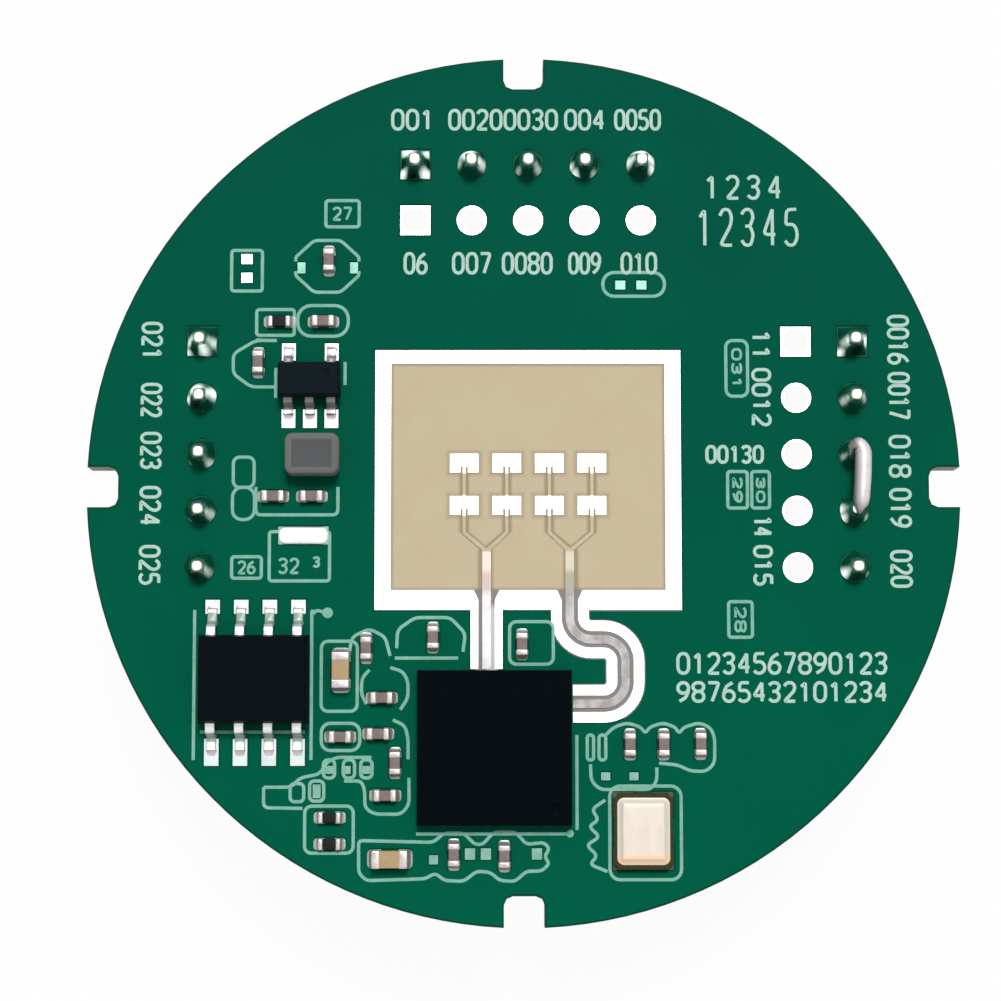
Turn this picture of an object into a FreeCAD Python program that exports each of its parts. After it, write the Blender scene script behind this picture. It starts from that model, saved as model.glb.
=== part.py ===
import FreeCAD, Part
import os

import Sketcher
from FreeCAD import Placement, Rotation, Vector

# Microwave radar sensor module: a round circuit board with a patch antenna array, its chips, and three
# pin headers below. Millimetres, +Z up towards the antenna, +Y towards the top notch, pin tips at zero.

os.makedirs("parts", exist_ok=True)
doc = FreeCAD.newDocument("radar_module")

# Size sheet: every size of the module, named once
SIZES = [
    ("board_diameter", 39.0, "round board"),
    ("board_thickness", 1.6, "laminate"),
    ("mask_thickness", 0.04, "solder mask on the front"),
    ("mask_inset", 0.08, "mask edge inside the board edge"),
    ("mask_clearance", 0.06, "mask opening beyond each land"),
    ("copper_thickness", 0.05, "lands, antennas and ground"),
    ("notch_width", 1.8, "four rim notches"),
    ("notch_depth", 1.4, "rim to notch floor"),
    ("notch_corner", 0.4, "round corners of a notch floor"),
    ("pin_pitch", 2.54, "between pins and between rows"),
    ("pin_width", 0.64, "square pin"),
    ("pin_taper", 0.16, "pin tip chamfer, inwards"),
    ("pin_tip_length", 0.4, "pin tip chamfer, along the pin"),
    ("pin_reach", 6.0, "pin below the header body"),
    ("pin_tail", 1.45, "pin above the board"),
    ("header_width", 2.5, "header body"),
    ("header_height", 2.5, "header body"),
    ("header_notch", 0.45, "V between two pin places"),
    ("header_recess", 0.12, "relief of the body round each land"),
    ("header_recess_clearance", 0.12, "relief beyond the land"),
    ("bore_diameter", 1.0, "plated hole"),
    ("plating", 0.05, "wall of a plated hole"),
    ("hole_land", 1.36, "land of a plated hole"),
    ("top_row_x", 0.21, "middle of both top rows"),
    ("top_spare_y", 12.07, "spare holes, top"),
    ("right_spare_x", 12.2, "spare holes, right"),
    ("left_row_x", -14.4, "left header"),
    ("side_row_y", 1.47, "middle of the side rows"),
    ("land_flats", 8.0, "sides of a round land, drawn as a polygon because it repeats"),
    ("corner_flats", 8.0, "sides of the bar that rounds a small corner"),
    ("barrel_flats", 8.0, "sides of a barrel inside the board"),
    ("solder_foot", 0.64, "radius of a joint on its land"),
    ("solder_waist", 0.55, "radius of a joint where it steepens"),
    ("solder_neck", 0.495, "radius of a joint at its top"),
    ("solder_foot_height", 0.3, "foot to waist"),
    ("solder_height", 1.05, "land to the top of a joint"),
    ("link_radius", 0.38, "solder link between two pins"),
    ("link_end", 0.16, "radius of its rounded ends"),
    ("link_offset", 0.3, "link beside the pin line"),
    ("link_height", 0.9, "link axis above the board"),
    ("window_width", 12.24, "bare laminate round the antennas"),
    ("window_height", 10.16, "bare laminate round the antennas"),
    ("window_x", 0.19, "window middle"),
    ("window_y", 0.47, "window middle"),
    ("border_width", 0.71, "ground border, sides"),
    ("border_head", 0.61, "ground border, top"),
    ("border_foot", 0.88, "ground border, bottom"),
    ("patch_width", 1.28, "radiating patch"),
    ("patch_height", 0.85, "radiating patch"),
    ("patch_pitch", 1.9, "between patches, both ways"),
    ("array_x", 0.19, "middle of the eight patches"),
    ("array_y", 0.12, "middle of the eight patches"),
    ("inset_depth", 0.26, "slits beside the feed of a patch"),
    ("inset_slit", 0.09, "width of a slit"),
    ("trace_width", 0.14, "branch of the feed network"),
    ("branch_drop", 0.75, "patch edge to the bend of a branch"),
    ("merge_drop", 1.55, "patch edge to where two branches meet"),
    ("feed_shift", 0.05, "feeds drawn towards the middle"),
    ("line_width", 0.38, "middle conductor of a feed line"),
    ("line_gap", 0.18, "gap each side of it"),
    ("line_ground", 0.46, "ground each side of it"),
    ("left_ground", 0.34, "ground each side of the straight line"),
    ("mouth_width", 1.3, "border opening at the window"),
    ("line_drop", 1.31, "border to the first turn of the bent line"),
    ("line_reach", 2.46, "how far the bent line swings out"),
    ("bend_share", 0.39, "bend radius over the shorter leg"),
    ("chip_width", 6.8, "radar chip"),
    ("chip_height", 0.8, "radar chip"),
    ("chip_x", -1.31, "radar chip middle"),
    ("chip_y", -11.59, "radar chip middle"),
    ("chip_port_rise", 1.94, "bent line above the chip middle"),
    ("chip_end_gap", 0.08, "feed line to chip side"),
    ("contact_count", 8.0, "contacts on one side of the chip"),
    ("contact_pitch", 0.65, "chip contacts"),
    ("contact_width", 0.3, "chip contacts"),
    ("contact_length", 0.45, "chip contacts"),
    ("contact_height", 0.12, "chip contacts with their lands, board to chip"),
    ("heat_pad", 5.2, "square pad under the chip"),
    ("chip_dot", 0.28, "radius of the first-pin dot of the chip"),
    ("chip_dot_inset", 0.7, "dot to the sides of the chip"),
    ("memory_length", 4.9, "memory chip body"),
    ("memory_width", 3.9, "memory chip body"),
    ("memory_height", 1.5, "memory chip body"),
    ("memory_span", 6.2, "toe to toe"),
    ("memory_x", -11.92, "memory chip middle"),
    ("memory_y", -8.58, "memory chip middle"),
    ("memory_lead_pitch", 1.27, "memory chip leads"),
    ("memory_lead_width", 0.42, "memory chip leads"),
    ("regulator_length", 2.8, "regulator body"),
    ("regulator_width", 1.6, "regulator body"),
    ("regulator_height", 1.1, "regulator body"),
    ("regulator_span", 2.9, "toe to toe"),
    ("regulator_x", -9.56, "regulator middle"),
    ("regulator_y", 4.74, "regulator middle"),
    ("regulator_lead_pitch", 0.96, "regulator leads"),
    ("regulator_lead_width", 0.4, "regulator leads"),
    ("standoff", 0.1, "lead foot to package underside"),
    ("lead_thickness", 0.16, "gull-wing leads"),
    ("lead_knee", 0.38, "where a lead bends down, share of body to toe"),
    ("lead_heel", 0.5, "where a lead meets the land, share of body to toe"),
    ("lead_root", 0.3, "lead inside the body"),
    ("lead_land_margin", 0.11, "land beyond a lead, each side"),
    ("memory_land_toe", 0.44, "land beyond the toe, far side of the memory chip"),
    ("memory_land_heel", 0.18, "land behind the toe, far side"),
    ("memory_land_toe_near", 0.7, "land beyond the toe, near side"),
    ("memory_land_heel_near", 0.49, "land behind the toe, near side"),
    ("regulator_land_toe", 0.28, "land beyond the toe, far side of the regulator"),
    ("regulator_land_heel", 0.5, "land behind the toe, far side"),
    ("regulator_land_toe_near", 0.64, "land beyond the toe, near side"),
    ("regulator_land_heel_near", 0.2, "land behind the toe, near side"),
    ("package_draft", 8.0, "slope of moulded package sides, degrees"),
    ("package_dot", 0.2, "radius of the first-pin dot of a leaded package"),
    ("package_dot_inset", 0.6, "dot to the sides of the package"),
    ("dot_depth", 0.05, "first-pin dots"),
    ("inductor_length", 2.4, "power inductor"),
    ("inductor_width", 1.84, "power inductor"),
    ("inductor_height", 1.15, "power inductor"),
    ("inductor_corner", 0.32, "cut corners"),
    ("inductor_edge", 0.14, "chamfer of the top"),
    ("inductor_terminal", 0.6, "end terminals"),
    ("terminal_inset", 0.1, "terminal inside the end of the body"),
    ("inductor_x", -9.4, "inductor middle"),
    ("inductor_y", 1.38, "inductor middle"),
    ("crystal_width", 2.6, "crystal base"),
    ("crystal_length", 3.35, "crystal base"),
    ("crystal_base_height", 0.4, "crystal base"),
    ("crystal_lid_height", 0.3, "crystal lid"),
    ("crystal_lid_width", 2.32, "crystal lid"),
    ("crystal_lid_length", 2.94, "crystal lid"),
    ("crystal_crown_share", 0.35, "chamfer of the lid over its height"),
    ("crystal_land_width", 0.9, "corner lands below the crystal"),
    ("crystal_land_length", 1.1, "corner lands below the crystal"),
    ("crystal_land_reach", 0.03, "corner land beyond the base"),
    ("crystal_corner", 0.2, "corner of the base"),
    ("crystal_x", 5.24, "crystal middle"),
    ("crystal_y", -15.25, "crystal middle"),
    ("bar_length", 2.24, "tinned land"),
    ("bar_width", 0.8, "tinned land"),
    ("bar_rise", 0.14, "solder dome on the land"),
    ("bar_x", -9.82, "tinned land middle"),
    ("bar_y", -2.17, "tinned land middle"),
    ("small_length", 1.0, "small chip part"),
    ("small_width", 0.5, "small chip part"),
    ("small_height", 0.5, "small chip part"),
    ("large_length", 1.6, "large chip part"),
    ("large_width", 0.8, "large chip part"),
    ("large_height", 0.8, "large chip part"),
    ("resistor_height", 0.35, "chip resistor"),
    ("cap_share", 0.26, "end cap over the part length"),
    ("cap_lip", 0.025, "end cap proud of the part body"),
    ("land_overhang", 0.08, "land beyond a chip part end"),
    ("land_side", 0.02, "land beyond a chip part side"),
]
sheet = doc.addObject("Spreadsheet::Sheet", "sizes")
for row, (alias, value, note) in enumerate(SIZES, start=1):
    sheet.set(f"A{row}", alias)
    sheet.set(f"B{row}", str(value))
    sheet.set(f"C{row}", note)
    sheet.setAlias(f"B{row}", alias)
doc.recompute()


class SizeNames:
    """Turns sizes.alias into the formula text that the size sheet understands."""

    def __getattr__(self, alias):
        return f"sizes.{alias}"


s = SizeNames()

# Levels above the pin tips
BODY_FOOT = s.pin_reach
BOARD_FOOT = f"({s.pin_reach} + {s.header_height})"
BOARD_HEAD = f"({BOARD_FOOT} + {s.board_thickness})"
LAND_HEAD = f"({BOARD_HEAD} + {s.copper_thickness})"

# Small chip parts as placed: name, x, y, turn in degrees
CAPACITORS = [
    ("ceramic_capacitor_01", -8.74, 10.21, 90),
    ("ceramic_capacitor_02", -8.98, 7.44, 0),
    ("ceramic_capacitor_03", -11.88, 5.59, 90),
    ("ceramic_capacitor_04", -11.17, -0.43, 0),
    ("ceramic_capacitor_05", -9.45, -0.43, 0),
    ("ceramic_capacitor_06", -7.0, -7.19, 90),
    ("ceramic_capacitor_07", -4.04, -6.72, 90),
    ("ceramic_capacitor_08", -0.09, -7.02, 90),
    ("ceramic_capacitor_09", -6.3, -9.39, 0),
    ("ceramic_capacitor_10", -6.45, -10.98, 0),
    ("ceramic_capacitor_11", -8.13, -11.11, 0),
    ("ceramic_capacitor_12", -5.7, -12.26, 90),
    ("ceramic_capacitor_13", -6.13, -13.69, 0),
    ("ceramic_capacitor_14", -3.1, -16.28, 90),
    ("ceramic_capacitor_15", -0.88, -16.35, 90),
    ("ceramic_capacitor_16", 4.68, -11.45, 90),
    ("ceramic_capacitor_17", 6.17, -11.45, 90),
    ("ceramic_capacitor_18", 7.8, -11.43, 90),
]
RESISTORS = [
    ("chip_resistor_1", -10.95, 7.44, 0),
    ("chip_resistor_2", -8.58, -14.66, 0),
    ("chip_resistor_3", -8.58, -15.82, 0),
]
LARGE_CAPACITORS = [
    ("large_capacitor_1", -8.11, -8.17, 90),
    ("large_capacitor_2", -5.92, -16.47, 0),
]
# Bare lands of places without a part: x, y, width, height
BARE_LANDS = [
    (-2.39, -16.25, 0.45, 0.5),
    (-1.69, -16.25, 0.45, 0.5),
    (0.56, -16.25, 0.45, 0.5),
    (-4.0, -16.5, 0.4, 0.4),
    (-7.87, -12.56, 0.4, 0.35),
    (-8.6, -12.56, 0.4, 0.35),
    (-7.0, -12.56, 0.4, 0.35),
    (3.6, -12.85, 0.4, 0.35),
    (4.85, -12.85, 0.4, 0.35),
    (-9.16, -13.5, 0.35, 0.6),
    (-12.43, 10.3, 0.5, 0.45),
    (-12.43, 9.45, 0.5, 0.45),
    (-9.98, 9.9, 0.35, 0.5),
    (-7.62, 9.9, 0.35, 0.5),
    (5.3, 9.12, 0.45, 0.4),
    (4.35, 9.12, 0.45, 0.4),
]


# Shared makers
def bind(item, **formulas):
    """Binds properties of an object to formulas; a double underscore stands for a point."""
    for name, formula in formulas.items():
        item.setExpression(name.replace("__", "."), str(formula))
    return item


def place(item, x="0", y="0", z="0", turn=0.0, tilt=None):
    """Puts an object at x, y, z, turned about Z or by a given rotation."""
    item.Placement = Placement(Vector(), tilt or Rotation(Vector(0, 0, 1), turn))
    return bind(item, Placement__Base__x=x, Placement__Base__y=y, Placement__Base__z=z)


def block(name, length, width, height, x="0", y="0", z="0"):
    """A box centred on x, y and standing on z."""
    box = doc.addObject("Part::Box", name)
    bind(box, Length=length, Width=width, Height=height)
    return place(box, f"{x} - ({length}) / 2", f"{y} - ({width}) / 2", z)


def round_bar(name, radius, height, x="0", y="0", z="0"):
    """An upright cylinder standing on z."""
    bar = doc.addObject("Part::Cylinder", name)
    bind(bar, Radius=radius, Height=height)
    return place(bar, x, y, z)


def flat_sided_bar(name, radius, height, x="0", y="0", z="0", flats=s.barrel_flats):
    """An upright bar with flat sides, for small round parts that repeat."""
    bar = doc.addObject("Part::Prism", name)
    bind(bar, Polygon=flats, Circumradius=radius, Height=height)
    return place(bar, x, y, z)


def turned_loft(name, sections):
    """A solid through polygons about one axis, given as height and radius; it stands along Z."""
    rings = []
    for i, (height, radius) in enumerate(sections):
        ring = doc.addObject("Part::RegularPolygon", f"{name}_ring_{i}")
        bind(ring, Polygon=s.land_flats, Circumradius=radius)
        rings.append(place(ring, z=height))
    loft = doc.addObject("Part::Loft", name)
    loft.Sections = rings
    loft.Solid = True
    loft.Ruled = True
    return loft


def taper(name, length, width, top_length, top_width, height, x="0", y="0", z="0", down=False):
    """A block that narrows upwards, or downwards, from one rectangle to another."""
    wedge = doc.addObject("Part::Wedge", name)
    bind(wedge, Xmin=f"-({length}) / 2", Xmax=f"({length}) / 2", Zmin=f"-({width}) / 2", Zmax=f"({width}) / 2")
    bind(wedge, X2min=f"-({top_length}) / 2", X2max=f"({top_length}) / 2")
    bind(wedge, Z2min=f"-({top_width}) / 2", Z2max=f"({top_width}) / 2", Ymin="0", Ymax=height)
    return place(wedge, x, y, z, tilt=Rotation(Vector(1, 0, 0), -90 if down else 90))


def join(name, items):
    """Fuses objects into one."""
    fusion = doc.addObject("Part::MultiFuse", name)
    fusion.Shapes = items
    fusion.Refine = True
    return fusion


def cut(name, base, tool):
    """Takes one object out of another."""
    result = doc.addObject("Part::Cut", name)
    result.Base = base
    result.Tool = tool
    result.Refine = True
    return result


def group(name, items):
    """Keeps separate solids of the same piece together."""
    compound = doc.addObject("Part::Compound", name)
    compound.Links = items
    return compound


class Outline:
    """A sketch whose corners, centres and radii are all bound to the size sheet."""

    def __init__(self, sketch):
        self.sketch = sketch

    def pin(self, element, point, x, y):
        """Holds one point of the sketch at x, y."""
        self.hold(element, point, "X", x)
        self.hold(element, point, "Y", y)

    def polygon(self, corners):
        """A closed outline through corners given as formulas."""
        start = [Vector(value(x), value(y), 0) for x, y in corners]
        first = self.sketch.GeometryCount
        count = len(corners)
        for i in range(count):
            self.sketch.addGeometry(Part.LineSegment(start[i], start[(i + 1) % count]), False)
        for i in range(count):
            self.sketch.addConstraint(
                Sketcher.Constraint("Coincident", first + i, 2, first + (i + 1) % count, 1)
            )
        for i, (x, y) in enumerate(corners):
            self.pin(first + i, 1, x, y)
        return self

    def hold(self, element, point, axis, formula):
        """Holds one coordinate of a point of the sketch."""
        rule = Sketcher.Constraint(f"Distance{axis}", -1, 1, element, point, value(formula))
        number = self.sketch.addConstraint(rule)
        self.sketch.setExpression(f"Constraints[{number}]", str(formula))

    def rectangle(self, x, y, length, width):
        """A rectangle centred on x, y."""
        left, right = f"{x} - ({length}) / 2", f"{x} + ({length}) / 2"
        near, far = f"{y} - ({width}) / 2", f"{y} + ({width}) / 2"
        return self.polygon([(left, near), (right, near), (right, far), (left, far)])


def value(formula):
    """The number that a formula gives now, for the first shape of a sketch."""
    return float(sheet.evalExpression(str(formula)))


def outline(name):
    """A free sketch in the board plane."""
    return Outline(doc.addObject("Sketcher::SketchObject", name))


def slab(name, flat, thickness, z="0"):
    """Raises a sketch to a plate; inner outlines become holes."""
    plate = doc.addObject("Part::Extrusion", name)
    plate.Base = flat.sketch
    plate.DirMode = "Custom"
    plate.Dir = Vector(0, 0, 1)
    plate.Solid = True
    plate.FaceMakerClass = "Part::FaceMakerBullseye"
    bind(plate, LengthFwd=thickness)
    return place(plate, z=z)


def body_sketch(body, name, plane="XY_Plane", lift=None):
    """A sketch on one of the base planes of a body."""
    sketch = body.newObject("Sketcher::SketchObject", name)
    origin = [f for f in body.Origin.OriginFeatures if f.Role == plane][0]
    sketch.AttachmentSupport = (origin, [""])
    sketch.MapMode = "FlatFace"
    if lift is not None:
        sketch.setExpression("AttachmentOffset.Base.z", str(lift))
    return Outline(sketch)


def feature(body, kind, name, flat=None, **formulas):
    """Adds a feature to a body and makes it the body's tip."""
    item = body.newObject(f"PartDesign::{kind}", name)
    if flat is not None:
        item.Profile = flat.sketch
    bind(item, **formulas)
    body.Tip = item
    return item


# Rows of plated holes and header pins: name, x and y of the middle, direction along the row
def row_places(x, y, along):
    """Formulas of the five places of a row; the first place has the square land."""
    places = []
    for i in range(5):
        step = f"({i - 2}) * {s.pin_pitch}"
        places.append((f"({x} + {step})", y) if along == "x" else (x, f"({y} - {step})"))
    return places


SPARE_TOP = row_places(s.top_row_x, s.top_spare_y, "x")
SPARE_RIGHT = row_places(s.right_spare_x, s.side_row_y, "y")
HEADER_TOP = row_places(s.top_row_x, f"({s.top_spare_y} + {s.pin_pitch})", "x")
HEADER_RIGHT = row_places(f"({s.right_spare_x} + {s.pin_pitch})", s.side_row_y, "y")
HEADER_LEFT = row_places(s.left_row_x, s.side_row_y, "y")
HEADERS = [("top", HEADER_TOP, "x"), ("right", HEADER_RIGHT, "y"), ("left", HEADER_LEFT, "y")]

BORE = f"({s.bore_diameter} / 2)"
# the flats of a barrel, not its corners, lie one plating thickness outside the bore
DRILL = f"(({s.bore_diameter} / 2 + {s.plating}) / cos(180 / {s.barrel_flats}))"


# Round board with four notches and all its drilled holes
def rim_notch(name, grow, thickness):
    """Four rounded slots cut inwards from the rim, grown all round by a margin."""
    slots = []
    width = f"({s.notch_width} + 2 * {grow})"
    corner = f"({s.notch_corner} + {grow})"
    floor = f"({s.board_diameter} / 2 - {s.notch_depth} - {grow})"
    for i in range(4):
        deep = block(f"{name}_deep_{i}", f"({width} - 2 * {corner})", s.notch_width, thickness,
                     "0", f"({floor} + {s.notch_width} / 2)")
        wide = block(f"{name}_wide_{i}", width, f"(2 * {s.notch_depth})", thickness,
                     "0", f"({floor} + {corner} + {s.notch_depth})")
        ends = [flat_sided_bar(f"{name}_corner_{i}{side}", corner, thickness,
                               f"{sign} * ({width} / 2 - {corner})", f"({floor} + {corner})",
                               flats=s.corner_flats)
                for side, sign in (("a", -1), ("b", 1))]
        slots.append(place(join(f"{name}_{i}", [deep, wide] + ends), turn=90 * i))
    return slots


drilled = [flat_sided_bar(f"drill_{i}", DRILL, s.board_thickness, x, y)
           for i, (x, y) in enumerate(SPARE_TOP + SPARE_RIGHT + HEADER_TOP + HEADER_RIGHT + HEADER_LEFT)]
disc = round_bar("board_disc", f"{s.board_diameter} / 2", s.board_thickness)
board = cut("circuit_board", disc, join("board_tools", rim_notch("notch", "0", s.board_thickness) + drilled))
place(board, z=BOARD_FOOT)


# Plated holes: land above, land below and the barrel between them
def hole_pad(name, i, radius, height, x, y, z):
    """A square for the first place of a row, and a round land for the others."""
    if i == 0:
        return block(name, f"(2 * {radius})", f"(2 * {radius})", height, x, y, z)
    return flat_sided_bar(name, radius, height, x, y, z, s.land_flats)


def eyelets(name, places, bore):
    """Five plated holes as separate solids; bore makes the tool for the opening."""
    copper, bores = [], []
    for i, (x, y) in enumerate(places):
        for side, z in (("upper", s.board_thickness), ("lower", f"-{s.copper_thickness}")):
            copper.append(hole_pad(f"{name}_{side}_{i}", i, f"({s.hole_land} / 2)", s.copper_thickness, x, y, z))
        copper.append(flat_sided_bar(f"{name}_barrel_{i}", DRILL, s.board_thickness, x, y))
        bores.append(bore(f"{name}_bore_{i}", BORE, f"({s.board_thickness} + 4 * {s.copper_thickness})", x, y,
                          f"(-2 * {s.copper_thickness})"))
    return place(cut(name, join(f"{name}_copper", copper), join(f"{name}_bores", bores)), z=BOARD_FOOT)


eyelets("spare_holes_top", SPARE_TOP, round_bar)
eyelets("spare_holes_right", SPARE_RIGHT, round_bar)
for side, places, along in HEADERS:
    eyelets(f"{side}_header_eyelets", places, flat_sided_bar)


# Headers below the board: moulded body, square pins, solder joints
def header(side, places, along):
    """One row of five pins with its moulded body and its joints."""
    x, y = places[2]
    turn = 0 if along == "x" else -90
    body = doc.addObject("PartDesign::Body", f"{side}_header_body")
    length = f"(5 * {s.pin_pitch})"
    flat = body_sketch(body, f"{side}_header_outline").rectangle("0", "0", length, s.header_width)
    feature(body, "Pad", f"{side}_header_block", flat, Length=s.header_height)
    vees = body_sketch(body, f"{side}_header_vees")
    edge = f"({s.header_width} / 2)"
    over = f"({s.header_width} / 2 + {s.header_notch})"
    for i in range(4):
        middle = f"(({i} - 1.5) * {s.pin_pitch})"
        for sign in (1, -1):
            vees.polygon([(f"({middle} - 2 * {s.header_notch})", f"{sign} * {over}"),
                          (f"({middle} + 2 * {s.header_notch})", f"{sign} * {over}"),
                          (middle, f"{sign} * ({edge} - {s.header_notch})")])
    feature(body, "Pocket", f"{side}_header_vee_cut", vees, Length=s.header_height).Reversed = True
    reliefs = body_sketch(body, f"{side}_header_reliefs", lift=f"{s.header_height} - {s.header_recess}")
    pockets = body_sketch(body, f"{side}_header_pockets")
    for i in range(5):
        across = f"(({i} - 2) * {s.pin_pitch})"
        radius = f"({s.hole_land} / 2 + {s.header_recess_clearance})"
        reliefs.rectangle(across, "0", f"2 * {radius}", f"2 * {radius}")
        pockets.rectangle(across, "0", s.pin_width, s.pin_width)
    feature(body, "Pocket", f"{side}_header_relief_cut", reliefs, Length=s.header_recess).Reversed = True
    feature(body, "Pocket", f"{side}_header_pin_cut", pockets, Length=s.header_height).Reversed = True
    place(body, x, y, BODY_FOOT, turn)

    top = f"({BOARD_HEAD} + {s.pin_tail})"
    shaft = f"({top} - 2 * {s.pin_tip_length})"
    tip = f"({s.pin_width} - 2 * {s.pin_taper})"
    pins, joints = [], []
    for i, (px, py) in enumerate(places):
        name = f"{side}_pin_{i}"
        pins.append(join(name, [
            block(f"{name}_shaft", s.pin_width, s.pin_width, shaft, px, py, s.pin_tip_length),
            taper(f"{name}_head", s.pin_width, s.pin_width, tip, tip, s.pin_tip_length, px, py,
                  f"({top} - {s.pin_tip_length})"),
            taper(f"{name}_foot", s.pin_width, s.pin_width, tip, tip, s.pin_tip_length, px, py,
                  s.pin_tip_length, down=True)]))
        name = f"{side}_joint_{i}"
        hill = turned_loft(f"{name}_hill", [
            ("0", s.solder_foot), (s.solder_foot_height, s.solder_waist), (s.solder_height, s.solder_neck)])
        solid = join(f"{name}_solid", [
            flat_sided_bar(f"{name}_fill", BORE, f"({s.board_thickness} + 2 * {s.copper_thickness})", px, py,
                           f"({BOARD_FOOT} - {s.copper_thickness})"),
            place(hill, px, py, LAND_HEAD)])
        core = block(f"{name}_core", s.pin_width, s.pin_width, top, px, py)
        joints.append(cut(name, solid, core))
    return group(f"{side}_header_pins", pins), group(f"{side}_header_solder", joints)


header_parts = {side: header(side, places, along) for side, places, along in HEADERS}

# Solder link that joins the third and fourth pins of the right header
link_x = f"({HEADER_RIGHT[2][0]} + {s.link_offset})"
link_z = f"({BOARD_HEAD} + {s.link_height})"
reach = f"({s.pin_pitch} / 2)"
link_bar = turned_loft("link_bar", [
    (f"(-{reach} - {s.link_radius})", s.link_end), (f"(-{reach})", s.link_radius),
    (reach, s.link_radius), (f"({reach} + {s.link_radius})", s.link_end)])
link_y = f"(({HEADER_RIGHT[2][1]} + {HEADER_RIGHT[3][1]}) / 2)"
place(link_bar, link_x, link_y, link_z, tilt=Rotation(Vector(1, 0, 0), 90))
link_tools = join("link_tools", [doc.getObject(f"right_pin_{i}") for i in (2, 3)]
                  + [doc.getObject(f"right_joint_{i}_solid") for i in (2, 3)])
cut("solder_link", link_bar, link_tools)

# Antenna field: the window, the feed positions and the path of the bent line
WINDOW_FOOT = f"({s.window_y} - {s.window_height} / 2)"
BORDER_FOOT = f"({WINDOW_FOOT} - {s.border_foot})"
CHIP_TOP = f"({s.chip_y} + {s.chip_width} / 2)"
CHIP_RIGHT = f"({s.chip_x} + {s.chip_width} / 2)"
LEFT_FEED = f"({s.array_x} - {s.patch_pitch} + {s.feed_shift})"
RIGHT_FEED = f"({s.array_x} + {s.patch_pitch} - {s.feed_shift})"
FIRST_LEVEL = f"({BORDER_FOOT} - {s.line_drop})"
SECOND_LEVEL = f"({s.chip_y} + {s.chip_port_rise})"
RETURN_X = f"({RIGHT_FEED} + {s.line_reach})"
LINE_CHANNEL = f"({s.line_width} + 2 * {s.line_gap})"
BENT_TOTAL = f"({LINE_CHANNEL} + 2 * {s.line_ground})"
LEFT_TOTAL = f"({LINE_CHANNEL} + 2 * {s.left_ground})"
LEAST_BEND = f"({BENT_TOTAL} / 2 + 2 * {s.mask_clearance})"
BEND = f"max({s.bend_share} * min({s.line_reach}; {FIRST_LEVEL} - {SECOND_LEVEL}); {LEAST_BEND})"
PATCH_FOOT = f"({s.array_y} - {s.patch_pitch} / 2 - {s.patch_height} / 2)"
BRANCH_Y = f"({PATCH_FOOT} - {s.branch_drop})"
MERGE_Y = f"({PATCH_FOOT} - {s.merge_drop})"


def quarter_ring(name, x, y, radius, width, height, z, turn):
    """A flat quarter turn about x, y; turned by zero it fills the far right quadrant."""
    outer = doc.addObject("Part::Cylinder", f"{name}_outer")
    bind(outer, Radius=f"({radius} + {width} / 2)", Height=height)
    outer.Angle = 90
    inner = round_bar(f"{name}_inner", f"({radius} - {width} / 2)", height)
    return place(cut(name, outer, inner), x, y, z, turn)


def bent_strip(name, start_y, width, height, z="0"):
    """A flat strip that runs down, right, down and back left to the chip, with round turns."""
    end_x = f"({CHIP_RIGHT} + {s.chip_end_gap})"
    first, last = f"({RIGHT_FEED} + {BEND})", f"({RETURN_X} - {BEND})"
    return join(name, [
        straight_strip(f"{name}_down", RIGHT_FEED, start_y, f"({FIRST_LEVEL} + {BEND})", width, height, z),
        quarter_ring(f"{name}_turn_1", first, f"({FIRST_LEVEL} + {BEND})", BEND, width, height, z, 180),
        block(f"{name}_across", f"({last} - {first})", width, height, f"(({first} + {last}) / 2)", FIRST_LEVEL, z),
        quarter_ring(f"{name}_turn_2", last, f"({FIRST_LEVEL} - {BEND})", BEND, width, height, z, 0),
        straight_strip(f"{name}_fall", RETURN_X, f"({FIRST_LEVEL} - {BEND})", f"({SECOND_LEVEL} + {BEND})",
                       width, height, z),
        quarter_ring(f"{name}_turn_3", last, f"({SECOND_LEVEL} + {BEND})", BEND, width, height, z, -90),
        block(f"{name}_back", f"({last} - {end_x})", width, height, f"(({last} + {end_x}) / 2)", SECOND_LEVEL, z)])


def straight_strip(name, x, top, foot, width, height, z="0"):
    """A flat strip from one level down to another."""
    return block(name, width, f"({top} - {foot})", height, x, f"(({top} + {foot}) / 2)", z)


LINE_START = f"({BORDER_FOOT} + {s.border_foot} / 2)"
LEFT_END = f"({CHIP_TOP} + {s.chip_end_gap})"


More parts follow.
